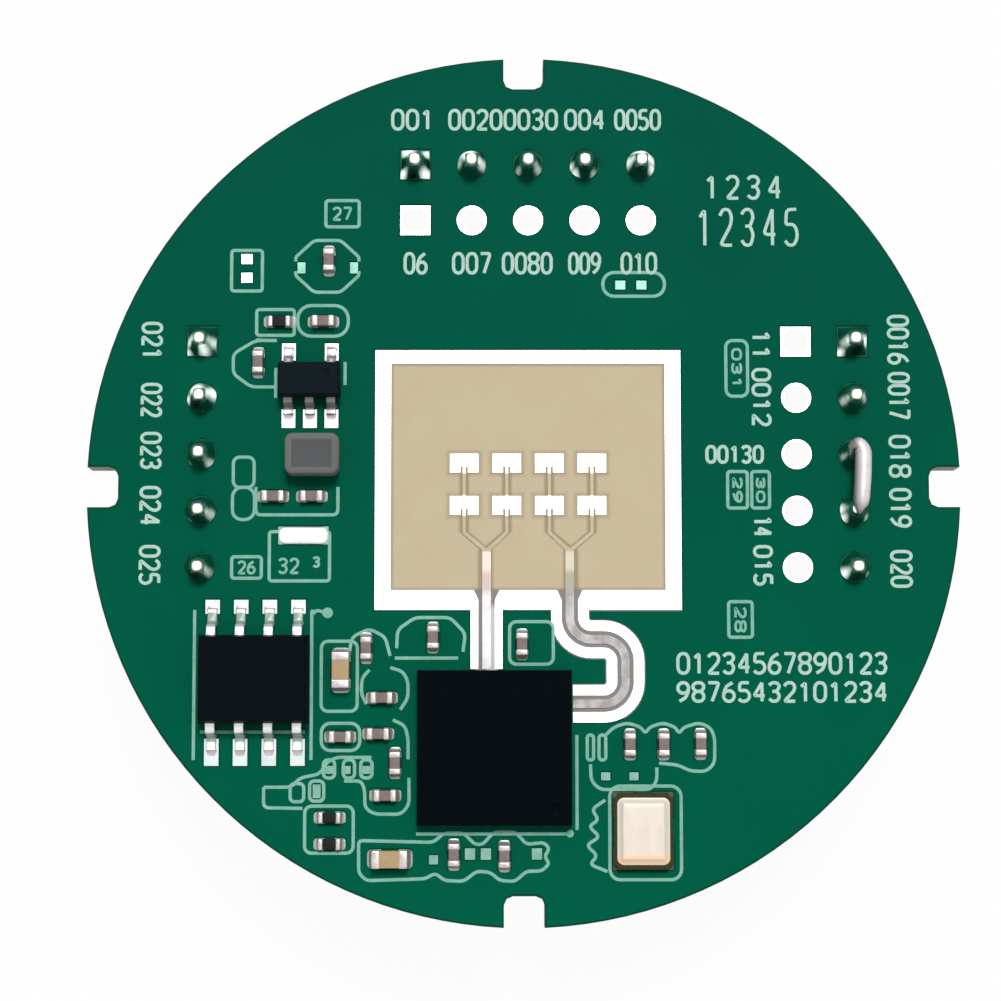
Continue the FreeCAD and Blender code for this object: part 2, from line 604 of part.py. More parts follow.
# Patch antennas: two by two patches each, branches that merge, and the line to the chip
def antenna(name, sign, feed_x, line):
    """Four patches in two columns with their feed network as one flat piece of copper."""
    pieces = [line]
    thick = s.copper_thickness
    half = f"({s.trace_width} / 2)"
    slits = outline(f"{name}_slits")
    for column in (-1, 1):
        x = f"({s.array_x} + ({sign} + ({column}) / 2) * {s.patch_pitch})"
        for level in (-1, 1):
            y = f"({s.array_y} + ({level}) * {s.patch_pitch} / 2)"
            pieces.append(block(f"{name}_patch_{column + 1}_{level + 1}", s.patch_width, s.patch_height, thick,
                                x, y))
            for way in (-1, 1):
                slits.rectangle(f"({x} + ({way}) * ({half} + {s.inset_slit} / 2))",
                                f"({y} - {s.patch_height} / 2 + {s.inset_depth} / 2)", s.inset_slit, s.inset_depth)
        pieces.append(straight_strip(f"{name}_link_{column + 1}", x, f"({s.array_y} + {s.patch_pitch} / 2)",
                                     f"({s.array_y} - {s.patch_pitch} / 2)", s.trace_width, thick))
        branch = outline(f"{name}_branch_{column + 1}")
        outside, inside = f"({x} + ({column}) * {half})", f"({x} - ({column}) * {half})"
        start = f"({PATCH_FOOT} + {s.inset_depth})"
        branch.polygon([(outside, start), (outside, f"({BRANCH_Y} - {half})"),
                        (f"({feed_x} + ({column}) * {half})", f"({MERGE_Y} - {s.trace_width})"),
                        (f"({feed_x} - ({column}) * {half})", MERGE_Y),
                        (inside, BRANCH_Y), (inside, start)])
        pieces.append(slab(f"{name}_branch_plate_{column + 1}", branch, thick))
    solid = join(f"{name}_blank", pieces)
    slit_tool = slab(f"{name}_slit_tool", slits, f"2 * {thick}", f"-{thick} / 2")
    return place(cut(name, solid, slit_tool), z=BOARD_HEAD)


left_line = straight_strip("left_line", LEFT_FEED, MERGE_Y, LEFT_END, s.line_width, s.copper_thickness)
antenna("transmit_antenna", -1, LEFT_FEED, left_line)
right_line = join("right_line", [
    straight_strip("right_line_start", RIGHT_FEED, MERGE_Y, LINE_START, s.line_width, s.copper_thickness),
    bent_strip("right_line_bend", LINE_START, s.line_width, s.copper_thickness)])
antenna("receive_antenna", 1, RIGHT_FEED, right_line)

# Ground border round the window, with the grounds that run beside both feed lines
border_outer = block("border_outer", f"({s.window_width} + 2 * {s.border_width})",
                     f"({s.window_height} + {s.border_head} + {s.border_foot})", s.copper_thickness,
                     s.window_x, f"({s.window_y} + ({s.border_head} - {s.border_foot}) / 2)")
grounds = join("border_blank", [
    border_outer,
    straight_strip("left_ground_strip", LEFT_FEED, LINE_START, LEFT_END, LEFT_TOTAL, s.copper_thickness),
    bent_strip("right_ground_strip", LINE_START, BENT_TOTAL, s.copper_thickness)])
TALL = f"(2 * {s.copper_thickness})"
mouths = outline("border_mouths")
for feed in (LEFT_FEED, RIGHT_FEED):
    mouths.polygon([(f"({feed} - {s.mouth_width} / 2)", f"({WINDOW_FOOT} + {s.line_gap})"),
                    (f"({feed} + {s.mouth_width} / 2)", f"({WINDOW_FOOT} + {s.line_gap})"),
                    (f"({feed} + {LINE_CHANNEL} / 2)", LINE_START),
                    (f"({feed} - {LINE_CHANNEL} / 2)", LINE_START)])
channel_end = f"({LEFT_END} - {s.line_gap})"
border_tools = join("border_tools", [
    block("border_window", s.window_width, s.window_height, TALL, s.window_x, s.window_y, f"-{TALL} / 4"),
    slab("border_mouth_tool", mouths, TALL, f"-{TALL} / 4"),
    straight_strip("left_channel", LEFT_FEED, LINE_START, channel_end, LINE_CHANNEL, TALL, f"-{TALL} / 4"),
    bent_strip("right_channel", LINE_START, LINE_CHANNEL, TALL, f"-{TALL} / 4")])
place(cut("antenna_ground_border", grounds, border_tools), z=BOARD_HEAD)

# Lands on the board for every part, and the mask openings round them
lands = []
openings = []


def land(x, y, length, width, open_mask=True):
    """One flat land of copper, with its opening in the mask."""
    number = len(lands)
    lands.append(block(f"land_{number}", length, width, s.copper_thickness, x, y))
    if open_mask:
        opening(x, y, length, width)


def opening(x, y, length, width):
    """An opening of the mask, larger than the land by the clearance."""
    grown = [f"({size} + 2 * {s.mask_clearance})" for size in (length, width)]
    openings.append(block(f"opening_{len(openings)}", grown[0], grown[1], f"(3 * {s.mask_thickness})",
                          x, y, f"-{s.mask_thickness}"))


def chip_part_lands(x, y, turn, length, width):
    """Two lands below the ends of a chip part, in one opening of the mask."""
    cap = f"({length} * {s.cap_share} + {s.land_overhang})"
    middle = f"({length} / 2 + {s.land_overhang} - {cap} / 2)"
    broad = f"({width} + 2 * {s.land_side})"
    for sign in (-1, 1):
        if turn == 0:
            land(f"({x} + ({sign}) * {middle})", f"{y}", cap, broad, False)
        else:
            land(f"{x}", f"({y} + ({sign}) * {middle})", broad, cap, False)
    total = f"({length} + 2 * {s.land_overhang})"
    opening(f"{x}", f"{y}", *((total, broad) if turn == 0 else (broad, total)))


# Chip parts: a body between two end caps, one solid each
def chip_part(name, x, y, turn, length, width, height):
    """A chip part with its end caps a little proud of the body."""
    cap = f"({length} * {s.cap_share})"
    lip = s.cap_lip
    items = [block(f"{name}_middle", f"({length} - {cap})", f"({width} - 2 * {lip})", f"({height} - 2 * {lip})",
                   z=lip)]
    for side, sign in (("a", -1), ("b", 1)):
        items.append(block(f"{name}_end_{side}", cap, width, height,
                           f"(({sign}) * ({length} - {cap}) / 2)"))
    chip_part_lands(x, y, turn, length, width)
    return place(join(name, items), x, y, LAND_HEAD, turn)


for name, x, y, turn in CAPACITORS:
    chip_part(name, x, y, turn, s.small_length, s.small_width, s.small_height)
for name, x, y, turn in RESISTORS:
    chip_part(name, x, y, turn, s.small_length, s.small_width, s.resistor_height)
for name, x, y, turn in LARGE_CAPACITORS:
    chip_part(name, x, y, turn, s.large_length, s.large_width, s.large_height)
for x, y, length, width in BARE_LANDS:
    land(f"{x}", f"{y}", f"{length}", f"{width}")


# Radar chip: flat square package with contacts round its underside and a heat pad
contacts, contact_tools = [], []
count = int(value(s.contact_count))
reach = f"(({s.chip_width} - {s.contact_length}) / 2)"
for side in range(4):
    for i in range(count):
        along = f"(({i} - ({s.contact_count} - 1) / 2) * {s.contact_pitch})"
        sign = 1 if side < 2 else -1
        if side % 2 == 0:
            spot = (along, f"(({sign}) * {reach})", s.contact_width, s.contact_length)
        else:
            spot = (f"(({sign}) * {reach})", along, s.contact_length, s.contact_width)
        contacts.append(block(f"contact_{side}_{i}", spot[2], spot[3], s.contact_height, spot[0], spot[1]))
contacts.append(block("contact_heat_pad", s.heat_pad, s.heat_pad, s.contact_height))
opening(s.chip_x, s.chip_y, f"({s.chip_width} - 2 * {s.mask_clearance})", f"({s.chip_width} - 2 * {s.mask_clearance})")
place(group("radar_chip_contacts", contacts), s.chip_x, s.chip_y, BOARD_HEAD)
CHIP_FOOT = f"({BOARD_HEAD} + {s.contact_height})"
package = doc.addObject("PartDesign::Body", "chip_package")
flat = body_sketch(package, "chip_outline").rectangle("0", "0", s.chip_width, s.chip_width)
feature(package, "Pad", "chip_block", flat, Length=s.chip_height)
place(package, s.chip_x, s.chip_y, CHIP_FOOT)
CHIP_DOT_REACH = f"({s.chip_width} / 2 - {s.chip_dot_inset})"
chip_dot = flat_sided_bar("chip_dot", s.chip_dot, s.chip_height, f"({s.chip_x} + {CHIP_DOT_REACH})",
                          f"({s.chip_y} - {CHIP_DOT_REACH})", f"({CHIP_FOOT} + {s.chip_height} - {s.dot_depth})",
                          s.land_flats)
cut("radar_chip_body", package, chip_dot)


# Packages with gull-wing leads
def lead(name, width, span, half_body, exit_height, x, turn):
    """One lead: out of the body, down in a slope and along the land, cut to its width."""
    t = s.lead_thickness
    toe = f"({span} / 2)"
    knee = f"({half_body} + ({toe} - {half_body}) * {s.lead_knee})"
    heel = f"({half_body} + ({toe} - {half_body}) * {s.lead_heel})"
    inner = f"({half_body} - {s.lead_root})"
    profile = outline(f"{name}_profile")
    # the slope keeps about the strip's thickness between its two faces
    profile.polygon([(inner, exit_height), (f"({knee} - {t} / 2)", exit_height), (f"({heel} - {t} / 2)", "0"),
                     (toe, "0"), (toe, t), (f"({heel} + {t} / 2)", t),
                     (f"({knee} + {t} / 2)", f"({exit_height} + {t})"), (inner, f"({exit_height} + {t})")])
    profile.sketch.Placement = Placement(Vector(), Rotation(Vector(1, 0, 0), 90))
    plate = doc.addObject("Part::Extrusion", name)
    plate.Base = profile.sketch
    plate.DirMode = "Custom"
    plate.Dir = Vector(0, 1, 0)
    plate.Solid = True
    plate.Symmetric = True
    bind(plate, LengthFwd=width)
    return place(plate, x, "0", "0", turn)


def moulded_body(name, length, width, height, waist, draft):
    """A moulded package with sloped sides above and below the lead level."""
    body = doc.addObject("PartDesign::Body", name)
    middle = body_sketch(body, f"{name}_waist", lift=waist).rectangle("0", "0", length, width)
    feature(body, "Pad", f"{name}_upper", middle, Length=f"({height} - {waist})", TaperAngle=f"-{draft}")
    below = body_sketch(body, f"{name}_waist_below", lift=waist).rectangle("0", "0", length, width)
    feature(body, "Pad", f"{name}_lower", below, Length=f"({waist})", TaperAngle=f"-{draft}").Reversed = True
    return body


def leaded_package(name, length, width, height, span, x, y, pitch, lead_width, rows):
    """Body, leads and lands of a package whose leads leave its two long sides."""
    waist = f"({height} * 0.45)"
    body = moulded_body(f"{name}_mould", length, width, height, waist, s.package_draft)
    place(body, x, y, f"({LAND_HEAD} + {s.standoff})")
    exit_height = f"({s.standoff} + {waist} - {s.lead_thickness} / 2)"
    leads = []
    for sign, steps, beyond, behind in rows:
        for step in steps:
            title = f"{name}_lead_{'up' if sign > 0 else 'down'}_{len(leads)}"
            item = lead(title, lead_width, span, f"({width} / 2)", exit_height, f"({step}) * {pitch}", sign * 90)
            leads.append(item)
            reach = f"({span} / 2 + ({beyond} - {behind}) / 2)"
            land(f"({x} + ({step}) * {pitch})", f"({y} + ({sign}) * {reach})",
                 f"({lead_width} + 2 * {s.lead_land_margin})", f"({beyond} + {behind})")
    wings = place(group(f"{name}_leads", leads), x, y, LAND_HEAD)
    dot = flat_sided_bar(f"{name}_dot", s.package_dot, height, f"({x} + {length} / 2 - {s.package_dot_inset})",
                         f"({y} + {width} / 2 - {s.package_dot_inset})",
                         f"({LAND_HEAD} + {s.standoff} + {height} - {s.dot_depth})", s.land_flats)
    cut(f"{name}_body", body, join(f"{name}_tools", [wings, dot]))


leaded_package("memory_chip", s.memory_length, s.memory_width, s.memory_height, s.memory_span,
               s.memory_x, s.memory_y, s.memory_lead_pitch, s.memory_lead_width,
               [(1, (-1.5, -0.5, 0.5, 1.5), s.memory_land_toe, s.memory_land_heel),
                (-1, (-1.5, -0.5, 0.5, 1.5), s.memory_land_toe_near, s.memory_land_heel_near)])
leaded_package("regulator", s.regulator_length, s.regulator_width, s.regulator_height, s.regulator_span,
               s.regulator_x, s.regulator_y, s.regulator_lead_pitch, s.regulator_lead_width,
               [(1, (-1, 1), s.regulator_land_toe, s.regulator_land_heel),
                (-1, (-1, 0, 1), s.regulator_land_toe_near, s.regulator_land_heel_near)])

# Power inductor: moulded block with cut corners on two end terminals
coil = doc.addObject("PartDesign::Body", "inductor_body")
hx, hy, c = f"({s.inductor_length} / 2)", f"({s.inductor_width} / 2)", s.inductor_corner
flat = body_sketch(coil, "inductor_outline").polygon([
    (f"({c} - {hx})", f"-{hy}"), (f"({hx} - {c})", f"-{hy}"), (hx, f"({c} - {hy})"), (hx, f"({hy} - {c})"),
    (f"({hx} - {c})", hy), (f"({c} - {hx})", hy), (f"-{hx}", f"({hy} - {c})"), (f"-{hx}", f"({c} - {hy})")])
coil_block = feature(coil, "Pad", "inductor_block", flat, Length=s.inductor_height)
doc.recompute()
top_face = max(range(len(coil_block.Shape.Faces)), key=lambda i: coil_block.Shape.Faces[i].CenterOfMass.z)
rim = coil.newObject("PartDesign::Chamfer", "inductor_rim")
rim.Base = (coil_block, [f"Face{top_face + 1}"])
bind(rim, Size=s.inductor_edge)
coil.Tip = rim
place(coil, s.inductor_x, s.inductor_y, f"({LAND_HEAD} + {s.standoff})")
ends = []
for side, sign in (("left", -1), ("right", 1)):
    spot = f"(({sign}) * (({s.inductor_length} - {s.inductor_terminal}) / 2 - {s.terminal_inset}))"
    wide = f"({s.inductor_width} - 2 * {c})"
    ends.append(block(f"inductor_terminal_{side}", s.inductor_terminal, wide, s.standoff, spot))
    land(f"({s.inductor_x} + {spot})", s.inductor_y, s.inductor_terminal, wide)
place(group("inductor_terminals", ends), s.inductor_x, s.inductor_y, LAND_HEAD)

# Crystal: ceramic base with notched corners, metal lid on top
base = block("crystal_block", s.crystal_width, s.crystal_length, s.crystal_base_height)
corners = []
for i, (a, b) in enumerate(((-1, -1), (1, -1), (1, 1), (-1, 1))):
    corners.append(flat_sided_bar(f"crystal_corner_cut_{i}", s.crystal_corner, s.crystal_base_height,
                                  f"(({a}) * {s.crystal_width} / 2)", f"(({b}) * {s.crystal_length} / 2)",
                                  flats=s.corner_flats))
    out_x = f"({s.crystal_width} / 2 + {s.crystal_land_reach} - {s.crystal_land_width} / 2)"
    out_y = f"({s.crystal_length} / 2 + {s.crystal_land_reach} - {s.crystal_land_length} / 2)"
    land(f"({s.crystal_x} + ({a}) * {out_x})", f"({s.crystal_y} + ({b}) * {out_y})",
         s.crystal_land_width, s.crystal_land_length)
place(cut("crystal_base", base, join("crystal_corner_cuts", corners)), s.crystal_x, s.crystal_y, LAND_HEAD)
LID_HEAD = f"({s.crystal_lid_height} * {s.crystal_crown_share})"
lid_length, lid_width = s.crystal_lid_length, s.crystal_lid_width
lid = join("crystal_lid", [
    block("crystal_lid_rim", lid_width, lid_length, f"({s.crystal_lid_height} - {LID_HEAD})"),
    taper("crystal_lid_crown", lid_width, lid_length, f"({lid_width} - {LID_HEAD} * 2)",
          f"({lid_length} - {LID_HEAD} * 2)", LID_HEAD, z=f"({s.crystal_lid_height} - {LID_HEAD})")])
place(lid, s.crystal_x, s.crystal_y, f"({LAND_HEAD} + {s.crystal_base_height})")

# Tinned land with a low dome of solder
bar = taper("solder_bar", s.bar_length, s.bar_width, f"({s.bar_length} - 3 * {s.bar_rise})",
            f"({s.bar_width} - 3 * {s.bar_rise})", s.bar_rise)
place(group("tinned_land", [bar]), s.bar_x, s.bar_y, LAND_HEAD)
land(s.bar_x, s.bar_y, s.bar_length, s.bar_width)

place(join("component_lands", lands), z=BOARD_HEAD)


# Solder mask on the front, open round the holes, the antennas and the lands
DEEP = f"(3 * {s.mask_thickness})"
field_gap = f"(2 * {s.mask_clearance})"
openings += [
    block("field_opening", f"({s.window_width} + 2 * {s.border_width} + {field_gap})",
          f"({s.window_height} + {s.border_head} + {s.border_foot} + {field_gap})", DEEP, s.window_x,
          f"({s.window_y} + ({s.border_head} - {s.border_foot}) / 2)", f"-{s.mask_thickness}"),
    straight_strip("left_line_opening", LEFT_FEED, LINE_START, CHIP_TOP, f"({LEFT_TOTAL} + {field_gap})", DEEP,
                   f"-{s.mask_thickness}"),
    bent_strip("right_line_opening", LINE_START, f"({BENT_TOTAL} + {field_gap})", DEEP, f"-{s.mask_thickness}")]
openings += rim_notch("mask_notch", s.mask_inset, s.mask_thickness)
for row, places in enumerate((SPARE_TOP, SPARE_RIGHT, HEADER_TOP, HEADER_RIGHT, HEADER_LEFT)):
    for i, (x, y) in enumerate(places):
        openings.append(hole_pad(f"mask_hole_{row}_{i}", i, f"({s.hole_land} / 2 + {s.mask_clearance})", DEEP, x, y,
                                 f"-{s.mask_thickness}"))
mask_disc = round_bar("mask_disc", f"({s.board_diameter} / 2 - {s.mask_inset})", s.mask_thickness)
place(cut("solder_mask_front", mask_disc, join("mask_tools", openings)), z=BOARD_HEAD)

doc.recompute()

# Pieces of the module, each written to its own file
NODES = (
    ["circuit_board", "solder_mask_front", "antenna_ground_border", "transmit_antenna",
     "receive_antenna", "component_lands", "spare_holes_top", "spare_holes_right", "solder_link"]
    + [f"{side}_header_{kind}" for side in ("top", "right", "left") for kind in ("body", "pins", "solder", "eyelets")]
    + ["radar_chip_body", "radar_chip_contacts", "memory_chip_body", "memory_chip_leads", "regulator_body",
       "regulator_leads", "inductor_body", "inductor_terminals", "crystal_base", "crystal_lid", "tinned_land"]
    + [name for name, x, y, turn in CAPACITORS + RESISTORS + LARGE_CAPACITORS]
)
faulty = [item.Name for item in doc.Objects if {"Invalid", "Error"} & set(item.State)]
if faulty:
    raise RuntimeError("objects in error: " + ", ".join(faulty))
for name in NODES:
    item = doc.getObject(name)
    item.Label = name
    if item.Shape.isNull() or not item.Shape.isValid() or not item.Shape.Solids:
        raise RuntimeError("no sound solid in " + name)
for name in NODES:
    doc.getObject(name).Shape.exportStep(f"parts/{name}.step")
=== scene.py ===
import math

import bmesh
import bpy
import numpy as np
from bpy.props import FloatProperty, FloatVectorProperty, PointerProperty
from bpy.types import Operator, Panel, PropertyGroup
from mathutils import Matrix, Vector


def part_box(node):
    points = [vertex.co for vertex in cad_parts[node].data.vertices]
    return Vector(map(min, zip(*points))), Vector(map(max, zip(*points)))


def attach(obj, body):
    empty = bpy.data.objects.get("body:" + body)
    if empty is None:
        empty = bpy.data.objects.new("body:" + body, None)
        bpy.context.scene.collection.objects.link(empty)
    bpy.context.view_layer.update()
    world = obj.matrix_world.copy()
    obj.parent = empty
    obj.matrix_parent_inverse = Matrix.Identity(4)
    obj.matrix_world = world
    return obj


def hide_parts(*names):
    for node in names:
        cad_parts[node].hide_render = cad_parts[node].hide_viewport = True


bl_info = {
    "name": "Radar module dresser",
    "version": (1, 0, 0),
    "blender": (4, 5, 0),
    "location": "3D View > Sidebar > Radar module",
    "description": "Dresses the packed radar sensor module with its finishes, solder, print and chips",
    "category": "Object",
}

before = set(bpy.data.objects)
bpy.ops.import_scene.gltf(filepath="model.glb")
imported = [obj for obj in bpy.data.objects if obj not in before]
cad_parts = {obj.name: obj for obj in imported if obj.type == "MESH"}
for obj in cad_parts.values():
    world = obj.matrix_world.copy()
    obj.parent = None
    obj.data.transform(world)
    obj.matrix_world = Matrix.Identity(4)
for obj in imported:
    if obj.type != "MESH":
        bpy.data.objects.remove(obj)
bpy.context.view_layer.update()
MM = 0.001


class Box:
    """The box of a CAD node in millimetres: its corners, its size, its levels and the middle of its plan."""

    def __init__(self, node):
        self.low, self.high = (np.array(corner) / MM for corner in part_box(node))
        self.size = self.high - self.low
        self.x, self.y = (self.low + self.high)[:2] / 2
        self.foot, self.head = self.low[2], self.high[2]
        self.along_x = self.size[0] > self.size[1]
        self.length, self.width = self.size[:2] if self.along_x else self.size[1::-1]


# Levels and rows, read from the frame
BOARD_FOOT, BOARD_TOP = Box("circuit_board").foot, Box("circuit_board").head
MASK_TOP = Box("solder_mask_front").head
LAND_TOP = Box("component_lands").head
COPPER = LAND_TOP - BOARD_TOP
INK_HEIGHT, INK_STEP, INK_LEVELS = 0.010, 0.0004, 19
LAND_RADIUS = Box("spare_holes_top").width / 2
BORE_RADIUS = 0.5
PLATING = 0.05
SIDES = ("top", "right", "left")
SPARE_ROWS = ("spare_holes_top", "spare_holes_right")

# The bare window inside the ground border, and the patches, branches and feed lines in it
BORDER = Box("antenna_ground_border")
BORDER_SIDE, BORDER_HEAD, WINDOW_HEIGHT = 0.71, 0.61, 10.16
WINDOW_LEFT, WINDOW_RIGHT = BORDER.low[0] + BORDER_SIDE, BORDER.high[0] - BORDER_SIDE
WINDOW_HEAD = BORDER.high[1] - BORDER_HEAD
WINDOW_FOOT = WINDOW_HEAD - WINDOW_HEIGHT
ARRAY_X, ARRAY_Y, PATCH_PITCH = 0.19, 0.12, 1.9
PATCH_HALF_WIDTH, PATCH_HALF_HEIGHT = 0.64, 0.425
BRANCH_Y, MERGE_Y = -2.005, -2.805
LEFT_FEED, RIGHT_FEED_SIDE, CHIP_PORT_FOOT = -1.66, 1.4, -10.3


def row_places(node):
    """The five places of a row: evenly spaced between the outer lands, the square land's end first."""
    box = Box(node)
    steps = np.linspace(-1, 1, 5) * (box.length / 2 - LAND_RADIUS)
    if box.along_x:
        return np.c_[box.x + steps, np.full(5, box.y)]
    return np.c_[np.full(5, box.x), box.y - steps]


def pin_places(side):
    """The five pins of a header, read from their plated holes."""
    return row_places(f"{side}_header_eyelets")


# Surfaces as point grids
def point_outwards(mesh, merge=0.0):
    """Points the faces of closed surfaces outwards, once points that lie in one place are joined."""
    work = bmesh.new()
    work.from_mesh(mesh)
    if merge:
        bmesh.ops.remove_doubles(work, verts=work.verts, dist=merge)
    bmesh.ops.recalc_face_normals(work, faces=work.faces)
    work.to_mesh(mesh)
    work.free()


class Shape:
    """Collects closed surfaces, each an array of points with its faces, and turns them into one object."""

    def __init__(self):
        self.points, self.faces, self.paints, self.count, self.ribbons = [], [], [], 0, 0

    def add(self, points, faces, paint=0):
        """Adds points with faces that index them; paint is the number of their material."""
        for block in faces:
            block = np.atleast_2d(block) + self.count
            self.faces += block.tolist()
            self.paints += [paint] * len(block)
        self.points.append(np.asarray(points, float))
        self.count += len(points)
        return self

    def band(self, rings, paint=0, loop=False, caps=True):
        """A skin through closed rings of points, given as an array of rows, columns and x y z.

        loop joins the last ring to the first, and caps closes both ends.
        """
        rows, columns = rings.shape[:2]
        i = np.arange(rows if loop else rows - 1)[:, None]
        j = np.arange(columns)[None, :]
        below, right = (i + 1) % rows, (j + 1) % columns
        corners = ((i, j), (i, right), (below, right), (below, j))
        faces = [np.stack(np.broadcast_arrays(*(a * columns + b for a, b in corners)), -1).reshape(-1, 4)]
        if caps and not loop:
            faces += [np.arange(columns)[::-1], (rows - 1) * columns + np.arange(columns)]
        return self.add(rings.reshape(-1, 3), faces, paint)

    def make(self, name, finishes, slot, replaces=(), sharp=40.0):
        """Makes the object in metres, points its faces outwards and lets it ride on the module."""
        mesh = bpy.data.meshes.new(name)
        mesh.from_pydata((np.concatenate(self.points) * MM).tolist(), [], self.faces)
        for cover in finishes:
            mesh.materials.append(finish(cover))
        mesh.polygons.foreach_set("material_index", self.paints)
        point_outwards(mesh)
        mesh.shade_smooth()
        mesh.set_sharp_from_angle(angle=math.radians(sharp))
        piece = bpy.data.objects.new(name, mesh)
        bpy.context.scene.collection.objects.link(piece)
        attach(piece, "root")
        if replaces:
            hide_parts(*replaces)
        return piece


def corner_arcs(half_length, half_width, radius, turn):
    """Four arcs of one radius about the corners of a rectangle, each turned a quarter on from the last."""
    corners = np.array([(1, 1), (-1, 1), (-1, -1), (1, -1)]) * (half_length, half_width)
    angle = turn + np.arange(4)[:, None] * math.pi / 2
    return (corners[:, None, :] + radius * np.stack([np.cos(angle), np.sin(angle)], -1)).reshape(-1, 2)


def quarter_turn(steps):
    """Angles evenly spaced over a quarter turn, both ends among them."""
    return np.linspace(0, math.pi / 2, steps + 1)


def rounded_rectangle(length, width, radius, steps=4):
    """A rectangle whose corners are quarter circles, each about a point one radius inside both sides."""
    radius = max(min(radius, length / 2 - 1e-4, width / 2 - 1e-4), 1e-4)
    return corner_arcs(length / 2 - radius, width / 2 - radius, radius, quarter_turn(steps))


def full_turn(sides):
    """Angles evenly spaced over a full turn."""
    return np.linspace(0, 2 * math.pi, sides, endpoint=False)


def squaring(angle):
    """How far a square reaches beyond the circle inside it: 1 over the greater of cosine and sine."""
    return 1 / np.maximum(abs(np.cos(angle)), abs(np.sin(angle)))


def stacked(levels, x=0.0, y=0.0):
    """Rings from pairs of a flat outline and a height, all placed at x, y."""
    return np.stack([np.c_[outline + (x, y), np.full(len(outline), z)] for outline, z in levels])


def eased_levels(foot, head, foot_edge, head_edge, steps):
    """Inset and height along a wall: a quarter circle in at the foot and another at the head."""
    turn = quarter_turn(steps)
    low = np.c_[foot_edge * (1 - np.sin(turn)), foot + foot_edge * (1 - np.cos(turn))]
    high = np.c_[head_edge * (1 - np.cos(turn)), head - head_edge * (1 - np.sin(turn))]
    return np.concatenate([low, high])


def block_rings(length, width, corner, levels, x, y, steps):
    """Rings of a rounded block: at each level the outline shrinks by the inset on every side."""
    return stacked([(rounded_rectangle(length - 2 * inset, width - 2 * inset, corner - inset, steps), z)
                    for inset, z in levels], x, y)


def turned_rings(profile, x, y, sides, ripple=None):
    """Rings of a turned surface: each point of the profile, a radius and a height, swept round the axis."""
    angle = full_turn(sides)
    radius = np.repeat(profile[:, :1], sides, 1)
    if ripple is not None:
        radius = radius * ripple(angle[None, :], profile[:, 1:])
    height = np.repeat(profile[:, 1:], sides, 1)
    return np.stack([x + radius * np.cos(angle), y + radius * np.sin(angle), height], -1)


def smooth_path(corners, radius, closed=False, steps=5):
    """A path with rounded corners: each becomes a curve of the second degree, drawn towards the corner.

    It starts and ends one radius before and after the corner, or just short of half way to the next.
    """
    corners = np.asarray(corners, float)
    last = len(corners) - 1
    t = np.linspace(0, 1, steps + 1)[:, None]
    path = []
    for i, here in enumerate(corners):
        if not closed and i in (0, last):
            path.append(here[None])
            continue
        back, on = corners[i - 1] - here, corners[(i + 1) % (last + 1)] - here
        reach = min(radius, np.linalg.norm(back) * 0.49, np.linalg.norm(on) * 0.49)
        start, end = here + back / np.linalg.norm(back) * reach, here + on / np.linalg.norm(on) * reach
        path.append((1 - t) ** 2 * start + 2 * t * (1 - t) * here + t ** 2 * end)
    return np.concatenate(path)


def side_normals(path, closed=False):
    """Normals of a flat path at its points: the mean of the two segments' normals, longer at a corner."""
    ahead = np.roll(path, -1, 0) - path
    if not closed:
        ahead[-1] = ahead[-2]
    ahead /= np.linalg.norm(ahead, axis=1)[:, None]
    behind = np.roll(ahead, 1, 0)
    if not closed:
        behind[0] = ahead[0]
    mean = ahead + behind
    mean /= np.linalg.norm(mean, axis=1)[:, None]
    stretch = 1 / np.clip((mean * ahead).sum(1), 0.5, 1)
    return np.c_[-mean[:, 1], mean[:, 0]] * stretch[:, None]


def printed_line(shape, path, width, closed=False):
    """A low ribbon along a flat path: four points across it, the upper two drawn in a little.

    Each ribbon is a little higher than the one before it, so ribbons that cross never share a level.
    """
    height = INK_HEIGHT + INK_STEP * (shape.ribbons % INK_LEVELS)
    shape.ribbons += 1
    path = np.asarray(path, float)
    across = np.array([-0.5, 0.5, 0.42, -0.42]) * width
    level = MASK_TOP + np.array([0.0, 0.0, height, height])
    flat = path[:, None, :] - side_normals(path, closed)[:, None, :] * across[None, :, None]
    rings = np.concatenate([flat, np.broadcast_to(level[None, :, None], (*flat.shape[:2], 1))], -1)
    shape.band(rings, loop=closed)


def strip_rings(path, x, y, direction, half_width, thickness):
    """Rings of a bent metal strip: a rectangle with cut corners carried along a path of run and height.

    direction is the unit vector of the run, and the strip's width lies across it.
    """
    w, t, cut = half_width, thickness / 2, 0.03
    section = np.array([[-w, -t + cut], [-w + cut, -t], [w - cut, -t], [w, -t + cut],
                        [w, t - cut], [w - cut, t], [-w + cut, t], [-w, t - cut]])
    along = path[:, None, :] + side_normals(path)[:, None, :] * section[None, :, 1:]
    across = np.array([-direction[1], direction[0]])
    flat = along[..., :1] * np.asarray(direction) + section[None, :, :1] * across
    return np.concatenate([flat + (x, y), along[..., 1:]], -1)


